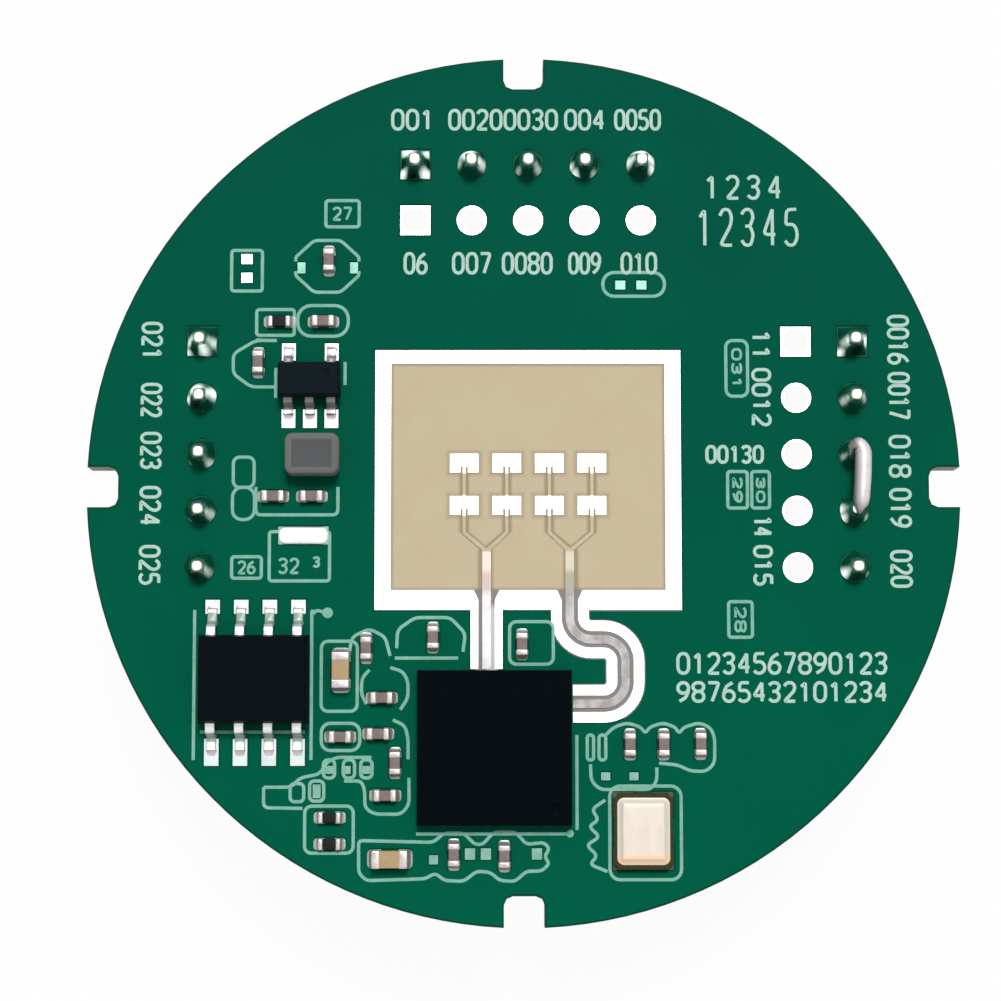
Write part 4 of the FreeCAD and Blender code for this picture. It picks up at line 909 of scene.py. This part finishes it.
class RADAR_OT_solder_link(Operator):
    """Makes the solder link: an oval section carried along a hooked path, thinner at both ends"""

    bl_idname = "radar.solder_link"
    bl_label = "Solder link"

    def execute(self, context):
        x, third = pin_places("right")[2]
        fourth = pin_places("right")[3][1]
        path = smooth_path([(x - 0.30, third - 0.18), (x - 0.24, third + 0.22), (x + 0.06, third + 0.34),
                            (x + 0.29, third + 0.02), (x + 0.26, third - 1.1), (x + 0.16, fourth + 0.3),
                            (x + 0.06, fourth - 0.24)], 0.3, steps=6)
        # its girth is the root of one minus the eighth power of the place along it, less towards its start
        t = np.linspace(-1, 1, len(path))
        girth = np.sqrt(np.clip(1 - abs(t) ** 8, 0.03, 1))
        girth = (girth * np.interp(t, (-1, -0.4, 0, 1), (0.42, 0.9, 1, 1.02)))[:, None]
        wide, tall, sunk, angle = 0.37, 0.42, 0.1, full_turn(28)
        flat = path[:, None, :] + side_normals(path)[:, None, :] * (girth * wide * np.cos(angle))[..., None]
        height = Box("solder_link").head - sunk + girth * tall * np.sin(angle)
        bar = Shape().band(np.concatenate([flat, height[..., None]], -1))
        bar.make("solder_link_bar", ["link"], "solder", ["solder_link"], 60)
        return {"FINISHED"}


class RADAR_OT_header_bodies(Operator):
    """Makes the header bodies: a moulded bar with a V between each two pin places and eased edges"""

    bl_idname = "radar.header_bodies"
    bl_label = "Header bodies"

    def execute(self, context):
        corner, notch, edge = 0.12, 0.45, 0.08
        for side in SIDES:
            node = f"{side}_header_body"
            box = Box(node)
            seam = np.linspace(-box.length / 2, box.length / 2, 6)
            cut = np.array([corner, notch, notch, notch, notch, corner])
            across = np.stack([seam - cut, seam, seam + cut], 1).ravel()[1:-1]
            rise = np.stack([cut * 0, cut, cut * 0], 1).ravel()[1:-1]
            half = np.c_[across, rise - box.width / 2]
            outline = np.concatenate([half, -half])
            inward = side_normals(outline, closed=True)
            levels = [(outline + inward * inset, z)
                      for inset, z in eased_levels(box.foot, box.head, edge, edge, 3)]
            if not box.along_x:
                levels = [(flat[:, ::-1] * (1, -1), z) for flat, z in levels]
            rings = stacked(levels, box.x, box.y)
            Shape().band(rings).make(node + "_moulded", ["header"], "header_plastic", [node], 30)
        return {"FINISHED"}


def moulded_block(box, draft, dot, dot_radius):
    """A moulded package: a grid over the top with a round dimple, and walls that slope out to a waist.

    The dimple deepens evenly from its rim and is level from two fifths of the way in.
    """
    edge, dot_depth = 0.05, 0.04
    top_half = box.size[:2] / 2 - draft - edge
    lines = []
    for reach, place in zip(top_half, dot):
        fine = place + dot_radius * np.linspace(-1.3, 1.3, 27)
        lines.append(np.unique(np.r_[np.linspace(-reach, reach, 5), fine[abs(fine) < reach * 0.99]]))
    gx, gy = np.meshgrid(*lines, indexing="ij")
    away = np.hypot(gx - dot[0], gy - dot[1]) / dot_radius
    depth = np.where(away < 1, dot_depth * np.minimum(1, 2.5 * (1 - away)), 0)
    grid = np.stack([gx + box.x, gy + box.y, box.head - depth], -1).reshape(-1, 3)
    index = np.arange(gx.size).reshape(gx.shape)
    quads = np.stack([index[:-1, :-1], index[1:, :-1], index[1:, 1:], index[:-1, 1:]], -1).reshape(-1, 4)
    rim = np.concatenate([index[:-1, 0], index[-1, :-1], index[:0:-1, -1], index[0, :0:-1]])
    centre, border = np.array((box.x, box.y)), grid[rim, :2]
    waist = box.foot + box.size[2] * 0.45
    walls = stacked([(centre + (border - centre) * (1 + grow / top_half), z) for z, grow in (
        (box.head - 0.015, 0.02), (box.head - edge, edge), (waist + 0.02, edge + draft),
        (waist - 0.02, edge + draft), (box.foot + 0.03, edge), (box.foot, 0.02))])
    rings = [rim, *(gx.size + k * len(rim) + np.arange(len(rim)) for k in range(len(walls)))]
    faces = [np.stack([upper, lower, np.roll(lower, -1), np.roll(upper, -1)], -1)
             for upper, lower in zip(rings, rings[1:])]
    return Shape().add(np.concatenate([grid, *walls]), [quads, *faces, rings[-1][::-1]])


class RADAR_OT_packages(Operator):
    """Makes the moulded packages: the square radar chip, the memory chip and the regulator"""

    bl_idname = "radar.packages"
    bl_label = "Moulded packages"

    def execute(self, context):
        # draft, then the dot: its distance from the right side and from the upper side, or from the lower
        # side if less than 0, and its radius
        for node, name, draft, inset_x, inset_y, radius in (
                ("radar_chip_body", "radar", 0.0, 0.7, -0.7, 0.28),
                ("memory_chip_body", "mould", 0.11, 0.6, 0.6, 0.2),
                ("regulator_body", "regulator", 0.08, 0.6, 0.5, 0.16)):
            box = Box(node)
            half_x, half_y = box.size[:2] / 2
            dot = (half_x - inset_x, math.copysign(half_y, inset_y) - inset_y)
            block = moulded_block(box, draft, dot, radius)
            block.make(node + "_moulded", [name], "package_black", [node], 25)
        return {"FINISHED"}


class RADAR_OT_leads(Operator):
    """Makes the gull-wing leads: a strip bent twice in round turns, with solder at its toe and its heel"""

    bl_idname = "radar.leads"
    bl_label = "Leads"

    def execute(self, context):
        thickness, root, knee, heel = 0.16, 0.12, 0.3, 0.48
        four = (-1.5, -0.5, 0.5, 1.5)
        for name, pitch, width, rows in (("memory_chip", 1.27, 0.42, ((1, four), (-1, four))),
                                         ("regulator", 0.96, 0.4, ((1, (-1, 1)), (-1, (-1, 0, 1))))):
            leads, body = Box(f"{name}_leads"), Box(f"{name}_body")
            toe, side = leads.size[1] / 2, body.size[1] / 2
            run = toe - side
            low, level = leads.foot + thickness / 2, leads.head - thickness / 2
            path = smooth_path([(side - root, level), (side + run * knee, level), (side + run * heel, low),
                                (toe, low)], 0.2, steps=6)
            shape = Shape()
            for sign, steps in rows:
                for x in (body.x + step * pitch for step in steps):
                    toe_y, heel_y = (body.y + sign * reach for reach in (toe, side + run * 0.52))
                    shape.band(strip_rings(path, x, body.y, (0, sign), width / 2, thickness))
                    solder_wedge(shape, x, toe_y, (0, sign), width / 2 + 0.03, 0.26, 0.12, LAND_TOP, 1)
                    solder_wedge(shape, x, heel_y, (0, -sign), width / 2 + 0.02, 0.2, 0.16, LAND_TOP, 1)
            shape.make(f"{name}_leads_bent", ["leads", "ends"], "lead_metal", [f"{name}_leads"], 45)
        return {"FINISHED"}


class RADAR_OT_inductor(Operator):
    """Makes the power inductor: a block with round-cut corners, an eased rim and a slightly sunk top panel"""

    bl_idname = "radar.inductor"
    bl_label = "Power inductor"

    def execute(self, context):
        box = Box("inductor_body")
        corner, foot_edge, head_edge, rim, panel, sunk = 0.36, 0.06, 0.14, 0.3, 0.36, 0.015
        levels = [*eased_levels(box.foot, box.head, foot_edge, head_edge, 5), (rim, box.head),
                  (panel, box.head - sunk)]
        rings = block_rings(*box.size[:2], corner, levels, box.x, box.y, 6)
        count = np.arange(rings.shape[1])
        # the walls and rim take the lighter copy of the grey, a painted highlight; the sunk panel takes the
        # plain grey
        block = Shape().band(rings[:-1], 1, caps=False).band(rings[-2:], 0, caps=False)
        block.add(rings[0], [count[::-1]], 1).add(rings[-1], [count], 0)
        piece = block.make("inductor_body_pressed", ["coil", "coil rim"], "inductor_grey", ["inductor_body"],
                           50)
        point_outwards(piece.data, 1e-7)
        return {"FINISHED"}


class RADAR_OT_crystal(Operator):
    """Makes the crystal: a ceramic base with a hollow at each corner and a domed metal lid with a weld rim"""

    bl_idname = "radar.crystal"
    bl_label = "Crystal"

    def execute(self, context):
        base = Box("crystal_base")
        foot, head = base.foot, base.head
        hollow, edge, shrunk = 0.2, 0.03, 0.985
        outline = corner_arcs(*base.size[:2] / 2, hollow, -math.pi / 2 - quarter_turn(5))
        rings = stacked([(outline * share, z) for share, z in (
            (shrunk, foot), (1.0, foot + edge), (1.0, head - edge), (shrunk, head))], base.x, base.y)
        Shape().band(rings).make("crystal_base_fired", ["base"], "crystal_ceramic", ["crystal_base"])
        lid = Box("crystal_lid")
        foot, head, rim, corner = lid.foot, lid.head, 0.06, 0.3
        levels = ((0.02, foot), (0, foot + 0.02), (0, foot + 0.09), (0.02, foot + 0.11), (rim, foot + 0.12),
                  (rim + 0.06, foot + 0.16), (rim + 0.2, head - 0.012), (rim + 0.3, head), (rim + 0.4, head))
        rings = block_rings(*lid.size[:2], corner, levels, base.x, base.y, 6)
        Shape().band(rings).make("crystal_lid_pressed", ["lid"], "crystal_metal", ["crystal_lid"], 30)
        return {"FINISHED"}


class RADAR_OT_tinned_land(Operator):
    """Makes the tinned land: a low solder cushion whose wall is a quarter oval, up and in towards its top"""

    bl_idname = "radar.tinned_land"
    bl_label = "Tinned land"

    def execute(self, context):
        box = Box("tinned_land")
        corner, slope = 0.32, 0.28
        share = np.sin(quarter_turn(8))
        levels = np.c_[slope * (1 - np.sqrt(1 - share ** 2)), box.foot + box.size[2] * share]
        rings = block_rings(*box.size[:2], corner, levels, box.x, box.y, 6)
        Shape().band(rings).make("tinned_land_cushion", ["tin"], "solder", ["tinned_land"], 60)
        return {"FINISHED"}


def chip_part(box, cap_share):
    """A chip part: a body between two end caps, all with eased edges, and a solder fillet at each end."""
    shape = Shape()
    lip, cap = 0.025, box.length * cap_share
    direction = np.array([1.0, 0.0]) if box.along_x else np.array([0.0, 1.0])
    shift = (box.length - cap) / 2
    for place, span, inset, paint, ease in ((0.0, box.length * (1 - cap_share), lip, 0, 0.03),
                                            (-shift, cap, 0.0, 1, 0.06), (shift, cap, 0.0, 1, 0.06)):
        sides = (span, box.width - 2 * inset)
        levels = eased_levels(box.foot + inset, box.head - inset, ease * 0.6, ease, 3)
        where = (box.x, box.y) + direction * place
        shape.band(block_rings(*(sides if box.along_x else sides[::-1]), ease, levels, *where, 3), paint)
    rise = box.size[2] * 0.62
    for sign in (-1, 1):
        where = (box.x, box.y) + direction * sign * box.length / 2
        solder_wedge(shape, *where, direction * sign, box.width / 2 + 0.02, 0.2, rise, box.foot, 2)
    return shape


class RADAR_OT_chip_parts(Operator):
    """Makes the small capacitors, the chip resistors and the two larger capacitors"""

    bl_idname = "radar.chip_parts"
    bl_label = "Chip parts"

    def execute(self, context):
        for start, body, slot, cap_share in (("ceramic_capacitor_", "grey", "capacitor_grey", 0.27),
                                             ("large_capacitor_", "tan", "capacitor_tan", 0.24),
                                             ("chip_resistor_", "black", "resistor_black", 0.22)):
            for node in sorted(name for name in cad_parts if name.startswith(start)):
                part = chip_part(Box(node), cap_share)
                part.make(node + "_soldered", [body, "ends", "solder"], slot, [node], 50)
        return {"FINISHED"}


# Print on the board: outlines round the parts, as centre and size in millimetres, with the corner where round
PLAIN_BOXES = (
    (-8.15, 12.37, 1.50, 1.20), (-12.43, 9.77, 1.38, 1.85), (-11.13, 7.42, 1.69, 1.17),
    (-12.34, -3.60, 1.32, 0.96), (9.62, -5.92, 1.05, 1.58), (-9.99, -3.10, 2.68, 2.20),
    (9.54, -0.13, 0.88, 1.64), (10.57, -0.13, 0.79, 1.64))
ROUND_BOXES = (
    (-9.00, 7.49, 2.27, 1.39, 0.6), (4.95, 9.15, 2.77, 1.08, 0.5), (9.55, 5.34, 0.97, 2.52, 0.3),
    (-8.61, -15.18, 2.14, 2.06, 0.3), (-8.19, -8.43, 1.60, 3.10, 0.3), (0.33, -6.96, 1.94, 1.89, 0.3),
    (5.35, -15.33, 3.15, 4.10, 0.45), (-12.50, 0.66, 0.93, 1.36, 0.28), (-12.50, -0.74, 0.98, 1.44, 0.42),
    (-8.62, -12.52, 0.50, 0.80, 0.2), (-7.74, -12.52, 0.50, 0.80, 0.2), (-6.97, -12.52, 0.50, 0.80, 0.2),
    (-9.16, -13.49, 0.62, 0.88, 0.2), (-10.03, -13.56, 0.60, 0.80, 0.2), (-8.12, -11.11, 1.70, 1.20, 0.4),
    (2.93, -11.58, 0.28, 1.10, 0.13), (3.46, -11.58, 0.30, 1.10, 0.14))
OPEN_LINES = (
    ((-11.95, 0.0), (-11.95, -1.25), (-8.29, -1.25), (-8.29, 0.0)),
    ((-7.95, -13.05), (-7.18, -13.05), (-7.04, -13.47), (-7.03, -14.23), (-6.62, -14.50), (-5.43, -14.51),
     (-5.08, -14.09), (-5.09, -12.91)),
    ((-9.31, -5.70), (-9.42, -5.49), (-9.42, -12.12)),
    ((-9.42, -5.62), (-9.15, -5.50), (-8.90, -5.60)),
    ((-14.62, -5.49), (-14.62, -12.12)),
    ((-14.34, -10.89), (-9.69, -10.89)),
    ((2.33, -11.03), (2.33, -15.20)),
    ((-4.77, -15.37), (1.85, -15.37)),
    ((-11.50, -13.32), (-11.50, -14.22), (-9.78, -14.25)),
    ((-11.50, -13.32), (-10.28, -13.32), (-9.90, -12.91), (-9.02, -12.74), (-8.72, -12.22), (-8.30, -12.01),
     (-6.75, -12.01)),
    ((3.62, -11.02), (3.96, -10.69), (4.57, -10.49), (5.17, -10.69), (5.36, -10.97), (5.55, -10.69),
     (6.15, -10.49), (6.69, -10.69), (6.85, -10.97), (7.08, -10.69), (7.74, -10.49), (8.25, -10.70),
     (8.43, -11.16), (8.42, -12.27), (8.05, -12.64), (7.35, -12.62), (6.79, -12.35), (5.96, -12.27)),
    ((2.93, -12.32), (2.96, -13.06), (3.35, -13.43), (5.58, -13.43), (5.86, -13.06), (5.86, -12.46)),
    ((-11.10, 5.36), (-11.10, 4.01)),
    ((-8.00, 5.63), (-8.00, 4.59)),
    ((-12.0, 6.62), (-11.3, 6.60)),
    ((3.58, -13.89), (2.97, -14.30), (3.30, -14.76), (2.83, -15.04), (3.34, -15.50), (2.73, -15.87),
     (3.24, -16.33), (2.87, -16.70), (3.66, -17.02)),
    ((-5.73, -7.63), (-2.92, -7.63)),
    ((-5.65, -7.19), (-5.61, -6.37), (-4.84, -5.83), (-3.28, -5.83), (-2.60, -6.54), (-2.71, -7.35)),
    ((-5.93, -8.05), (-5.37, -8.22), (-5.14, -8.66), (-5.14, -9.39), (-5.48, -9.91)),
    ((-5.81, -10.36), (-5.27, -10.61), (-5.13, -11.18), (-5.13, -12.10)),
    ((-7.76, -7.45), (-7.63, -6.69), (-6.86, -6.33), (-6.16, -6.69), (-5.94, -7.53)),
    ((-6.85, -8.15), (-7.18, -8.50), (-7.22, -9.20), (-6.98, -9.66)))
CLOSED_LINES = (
    ((-7.30, -15.66), (-7.29, -17.08), (-6.95, -17.41), (-4.35, -17.33), (-3.93, -17.08), (-3.51, -17.41),
     (-2.67, -17.44), (-2.09, -17.00), (-1.50, -17.05), (-1.08, -17.41), (-0.41, -17.45), (0.10, -17.00),
     (0.77, -17.00), (1.11, -16.66), (0.89, -16.38), (1.11, -16.00), (0.86, -15.75), (0.10, -15.83),
     (-0.40, -15.28), (-1.33, -15.28), (-1.83, -15.83), (-2.17, -15.83), (-2.68, -15.33), (-3.52, -15.33),
     (-4.02, -15.74)),)
HALF_HEXAGON = ((-1.42, 0.22), (-1.42, 0.42), (-0.60, 1.18), (0.60, 1.18), (1.42, 0.42), (1.42, 0.22))
OPEN_OCTAGON = ((1.05, 1.05), (0.1, 1.05), (-0.9, 0.45), (-0.9, -0.45), (-0.1, -1.05), (1.05, -1.05))
HEXAGON_PLACE, OCTAGON_PLACE = (-8.82, 9.97), (-12.11, 5.55)
BOX_CORNER, WIDE_BEND, TIGHT_BEND = 0.12, 0.25, 0.2
# Small numbers inside some outlines, level and turned: digits, then left, foot, right and head of their box
INNER_NUMBERS = (
    (("27", -8.62, 12.04, -7.70, 12.70), ("26", -12.76, -3.92, -11.92, -3.28),
     ("32", -10.95, -3.90, -9.98, -3.16), ("3", -9.42, -3.62, -9.05, -3.10)),
    (("28", 9.34, -6.50, 9.90, -5.34), ("031", 9.30, 4.42, 9.80, 6.26), ("29", 9.30, -0.72, 9.78, 0.46),
     ("30", 10.35, -0.72, 10.79, 0.46)))


class RADAR_OT_outlines(Operator):
    """Prints the outlines round the parts: low ribbons along rounded boxes and open and closed lines"""

    bl_idname = "radar.outlines"
    bl_label = "Printed outlines"

    def execute(self, context):
        width = context.scene.radar_module.print_width / MM
        shape = Shape()
        for x, y, length, height in PLAIN_BOXES:
            printed_line(shape, rounded_rectangle(length, height, BOX_CORNER, 3) + (x, y), width, True)
        for x, y, length, height, corner in ROUND_BOXES:
            printed_line(shape, rounded_rectangle(length, height, corner, 5) + (x, y), width, True)
        for corners in OPEN_LINES:
            printed_line(shape, smooth_path(corners, WIDE_BEND), width)
        for corners in CLOSED_LINES:
            printed_line(shape, smooth_path(corners, TIGHT_BEND, True), width, True)
        for sign in (1, -1):
            corners = np.array(HALF_HEXAGON) * (1, sign) + HEXAGON_PLACE
            printed_line(shape, smooth_path(corners, TIGHT_BEND), width)
        printed_line(shape, smooth_path(np.array(OPEN_OCTAGON) + OCTAGON_PLACE, WIDE_BEND), width)
        for places, turned in zip(INNER_NUMBERS, (False, True)):
            for digits, *sides in places:
                printed_number(shape, digits, sides, width * 0.8, turned)
        shape.make("printed_outlines", ["outline print"], "solder_mask")
        return {"FINISHED"}


# Strokes of the ten digits in a cell 1 wide and 1 high; a stroke that ends where it starts is closed
DIGITS = {
    "0": ([(0.25, 0), (0.75, 0), (1, 0.2), (1, 0.8), (0.75, 1), (0.25, 1), (0, 0.8), (0, 0.2), (0.25, 0)],),
    "1": ([(0.15, 0.78), (0.55, 1), (0.55, 0)],),
    "2": ([(0, 0.82), (0.25, 1), (0.75, 1), (1, 0.8), (0.9, 0.55), (0, 0), (1, 0)],),
    "3": ([(0, 0.86), (0.25, 1), (0.75, 1), (1, 0.8), (0.7, 0.53), (0.3, 0.53)],
          [(0.7, 0.53), (1, 0.3), (0.75, 0), (0.25, 0), (0, 0.14)]),
    "4": ([(0.75, 0), (0.75, 1)], [(0.75, 1), (0, 0.3), (1, 0.3)]),
    "5": ([(0.95, 1), (0.12, 1), (0.05, 0.56), (0.7, 0.6), (1, 0.4), (1, 0.18), (0.7, 0), (0.25, 0),
           (0, 0.13)],),
    "6": ([(0.85, 1), (0.25, 0.8), (0, 0.4)],
          [(0, 0.2), (0.25, 0), (0.75, 0), (1, 0.2), (1, 0.38), (0.75, 0.56), (0.25, 0.56), (0, 0.38),
           (0, 0.2)]),
    "7": ([(0, 1), (1, 1), (0.35, 0)],),
    "8": ([(0.25, 0.53), (0, 0.7), (0, 0.88), (0.25, 1), (0.75, 1), (1, 0.88), (1, 0.7), (0.75, 0.53),
           (0.25, 0.53)],
          [(0.25, 0.53), (0.75, 0.53), (1, 0.35), (1, 0.15), (0.75, 0), (0.25, 0), (0, 0.15), (0, 0.35),
           (0.25, 0.53)]),
    "9": ([(0.15, 0), (0.75, 0.2), (1, 0.6)],
          [(1, 0.8), (0.75, 1), (0.25, 1), (0, 0.8), (0, 0.62), (0.25, 0.44), (0.75, 0.44), (1, 0.62),
           (1, 0.8)]),
}
GAP = 0.42


def printed_number(shape, text, sides, width, turned=False):
    """Prints digits that fill a box with the given left, foot, right and head; turned, they read down it.

    Every digit is as wide as the others, with a gap of 0.42 digit widths between two.
    """
    left, foot, right, head = sides
    run, height = (head - foot, right - left) if turned else (right - left, head - foot)
    cell = (run - width) / (len(text) + (len(text) - 1) * GAP)
    for i, digit in enumerate(text):
        for stroke in DIGITS[digit]:
            points = np.array(stroke, float) * (cell, height - width)
            points += (i * cell * (1 + GAP) + width / 2, width / 2)
            points = (left, head) + np.c_[points[:, 1], -points[:, 0]] if turned else points + (left, foot)
            closed = stroke[0] == stroke[-1]
            line = smooth_path(points[:-1] if closed else points, 0.12 * height, closed, 3)
            printed_line(shape, line, width, closed)


# Rows of printed numbers: foot and head of a level row, or left and right of a turned one, then its numbers,
# each as digits with the two other sides of its box
LEVEL_ROWS = (
    (16.18, 17.19, (("001", -5.98, -4.04), ("00200030", -3.40, 1.57), ("004", 1.84, 3.70),
        ("0050", 4.10, 6.23))),
    (9.59, 10.63, (("06", -5.40, -4.30), ("007", -3.22, -1.42), ("0080", -0.98, 1.32),
        ("009", 2.00, 3.50), ("010", 4.36, 6.02))),
    (1.03, 1.89, (("00130", 8.11, 10.74),)),
    (-8.38, -7.36, (("01234567890123", 6.75, 16.15),)),
    (-9.62, -8.65, (("98765432101234", 6.74, 16.13),)))
TURNED_ROWS = (
    (-17.14, -16.16, (("021", 5.73, 7.45), ("022", 3.11, 4.69), ("023", 0.77, 2.48),
        ("024", -1.74, 0.05), ("025", -4.38, -2.59))),
    (16.30, 17.32, (("0016", 5.50, 7.77), ("0017", 3.01, 5.18), ("018", 0.40, 2.34),
        ("019", -1.84, -0.05), ("020", -4.52, -2.82))),
    (10.20, 11.10, (("11", 5.73, 7.09), ("0012", 2.70, 5.36), ("14", -2.24, -1.30),
        ("015", -4.43, -2.60))))
SPACED_NUMBERS = (("1234", 8.02, 13.01, 11.80, 14.16), ("12345", 7.65, 10.86, 12.55, 12.65))


class RADAR_OT_numbers(Operator):
    """Prints plain running numbers beside the pins, the holes and the parts"""

    bl_idname = "radar.numbers"
    bl_label = "Printed numbers"

    def execute(self, context):
        width = context.scene.radar_module.print_width / MM
        shape = Shape()
        for foot, head, numbers in LEVEL_ROWS:
            for digits, left, right in numbers:
                printed_number(shape, digits, (left, foot, right, head), width)
        for left, right, numbers in TURNED_ROWS:
            for digits, foot, head in numbers:
                printed_number(shape, digits, (left, foot, right, head), width, True)
        for digits, left, foot, right, head in SPACED_NUMBERS:
            step = (right - left) / len(digits)
            for i, digit in enumerate(digits):
                start = left + (i + 0.15) * step
                printed_number(shape, digit, (start, foot, start + step * 0.7, head), width)
        shape.make("printed_numbers", ["number print"], "solder_mask")
        return {"FINISHED"}


class RADAR_OT_marks(Operator):
    """Prints the small marks: the first-pin dots of the radar chip and of the memory chip"""

    bl_idname = "radar.marks"
    bl_label = "Printed marks"

    def execute(self, context):
        shape = Shape()
        for x, y, radius in ((2.02, -15.36, 0.17), (-8.72, -5.62, 0.24)):
            profile = np.array([(radius, MASK_TOP), (radius * 0.96, MASK_TOP + INK_HEIGHT + 0.002)])
            shape.band(turned_rings(profile, x, y, 28))
        shape.make("printed_dots", ["outline print"], "solder_mask")
        return {"FINISHED"}


def camera_axes(tilt, swing, roll):
    """Right, up and back of the camera: a turn about x, then y, then z, as rows."""
    ca, sa, cb, sb, cc, sc = (f(v) for v in (tilt, swing, roll) for f in (math.cos, math.sin))
    about_x = np.array([[1, 0, 0], [0, ca, -sa], [0, sa, ca]])
    about_y = np.array([[cb, 0, sb], [0, 1, 0], [-sb, 0, cb]])
    about_z = np.array([[cc, -sc, 0], [sc, cc, 0], [0, 0, 1]])
    return about_x @ about_y @ about_z


class RADAR_OT_studio(Operator):
    """Sets the floor, the even sky, one soft key lamp from the top side and the camera of the picture"""

    bl_idname = "radar.studio"
    bl_label = "Floor, light and camera"

    def execute(self, context):
        scene = context.scene
        settings = scene.radar_module
        white, half = (1, 1, 1, 1), 0.6
        mesh = bpy.data.meshes.new("floor")
        mesh.from_pydata([(-half, -half, 0), (half, -half, 0), (half, half, 0), (-half, half, 0)], [],
                         [(0, 1, 2, 3)])
        floor = bpy.data.objects.new("floor", mesh)
        scene.collection.objects.link(floor)
        paper = Finish("Floor", (250, 250, 250), 0.9, specular=0.0)
        paper.shader.inputs["Base Color"].default_value = (*settings.floor_color, 1.0)
        glow = paper.node("Emission", None, {"Color": white, "Strength": 1.0})
        both = paper.node("MixShader", None, {0: paper.seen() * 0.95, 1: paper.shader.outputs[0],
                                              2: glow.outputs[0]})
        paper.link(both.outputs[0], paper.first("OUTPUT_MATERIAL").inputs[0])
        mesh.materials.append(paper.material)

        scene.world = bpy.data.worlds.new("Even sky")
        scene.world.use_nodes = True
        air = Graph(scene.world.node_tree)
        sky = air.first("BACKGROUND")
        sky.inputs["Color"].default_value = white
        level = air.node("MapRange", None, {"Value": air.seen(), "To Min": settings.sky_level, "To Max": 1.0})
        air.link(level.outputs["Result"], sky.inputs["Strength"])

        lamp = bpy.data.lights.new("key", "SUN")
        lamp.energy = settings.key_level
        lamp.angle = math.radians(14)
        key = bpy.data.objects.new("key", lamp)
        key.rotation_euler = (math.radians(-24), math.radians(4), 0)
        scene.collection.objects.link(key)

        # the picture's camera: focal length in pixels of a 1001 pixel frame, and its place over the board
        focal_px, frame_px, sensor = 2688.24, 1001, 36
        axes = camera_axes(-0.09561, 0.0036, 0.00052)
        board_in_view = np.array([1.03861, 0.60117, -120.0])
        matrix = np.eye(4)
        matrix[:3, :3] = axes.T
        matrix[:3, 3] = (-axes.T @ board_in_view + (0, 0, BOARD_TOP)) * MM
        camera = bpy.data.objects.new("camera", bpy.data.cameras.new("camera"))
        camera.data.sensor_width = sensor
        camera.data.lens = focal_px / frame_px * sensor
        camera.data.clip_start, camera.data.clip_end = 0.005, 5
        camera.matrix_world = Matrix(matrix.tolist())
        scene.collection.objects.link(camera)
        scene.camera = camera
        scene.view_settings.view_transform = "Standard"
        return {"FINISHED"}


STEPS = (RADAR_OT_finishes, RADAR_OT_plated_holes, RADAR_OT_pins, RADAR_OT_pin_joints, RADAR_OT_solder_link,
         RADAR_OT_header_bodies, RADAR_OT_packages, RADAR_OT_leads, RADAR_OT_inductor, RADAR_OT_crystal,
         RADAR_OT_tinned_land, RADAR_OT_chip_parts, RADAR_OT_outlines, RADAR_OT_numbers, RADAR_OT_marks,
         RADAR_OT_studio)


class RADAR_PT_panel(Panel):
    bl_idname = "RADAR_PT_panel"
    bl_label = "Radar module"
    bl_space_type = "VIEW_3D"
    bl_region_type = "UI"
    bl_category = "Radar module"

    def draw(self, context):
        settings = context.scene.radar_module
        for name in ("print_width", "solder_rise", "floor_color", "sky_level", "key_level"):
            self.layout.prop(settings, name)
        for step in STEPS:
            self.layout.operator(step.bl_idname)


CLASSES = (RadarModuleSettings, *STEPS, RADAR_PT_panel)


def register():
    for item in CLASSES:
        bpy.utils.register_class(item)
    bpy.types.Scene.radar_module = PointerProperty(type=RadarModuleSettings)


def unregister():
    del bpy.types.Scene.radar_module
    for item in reversed(CLASSES):
        bpy.utils.unregister_class(item)


def main():
    register()
    for step in STEPS:
        group, name = step.bl_idname.split(".")
        getattr(getattr(bpy.ops, group), name)()
    bpy.context.view_layer.update()


if __name__ == "__main__":
    main()
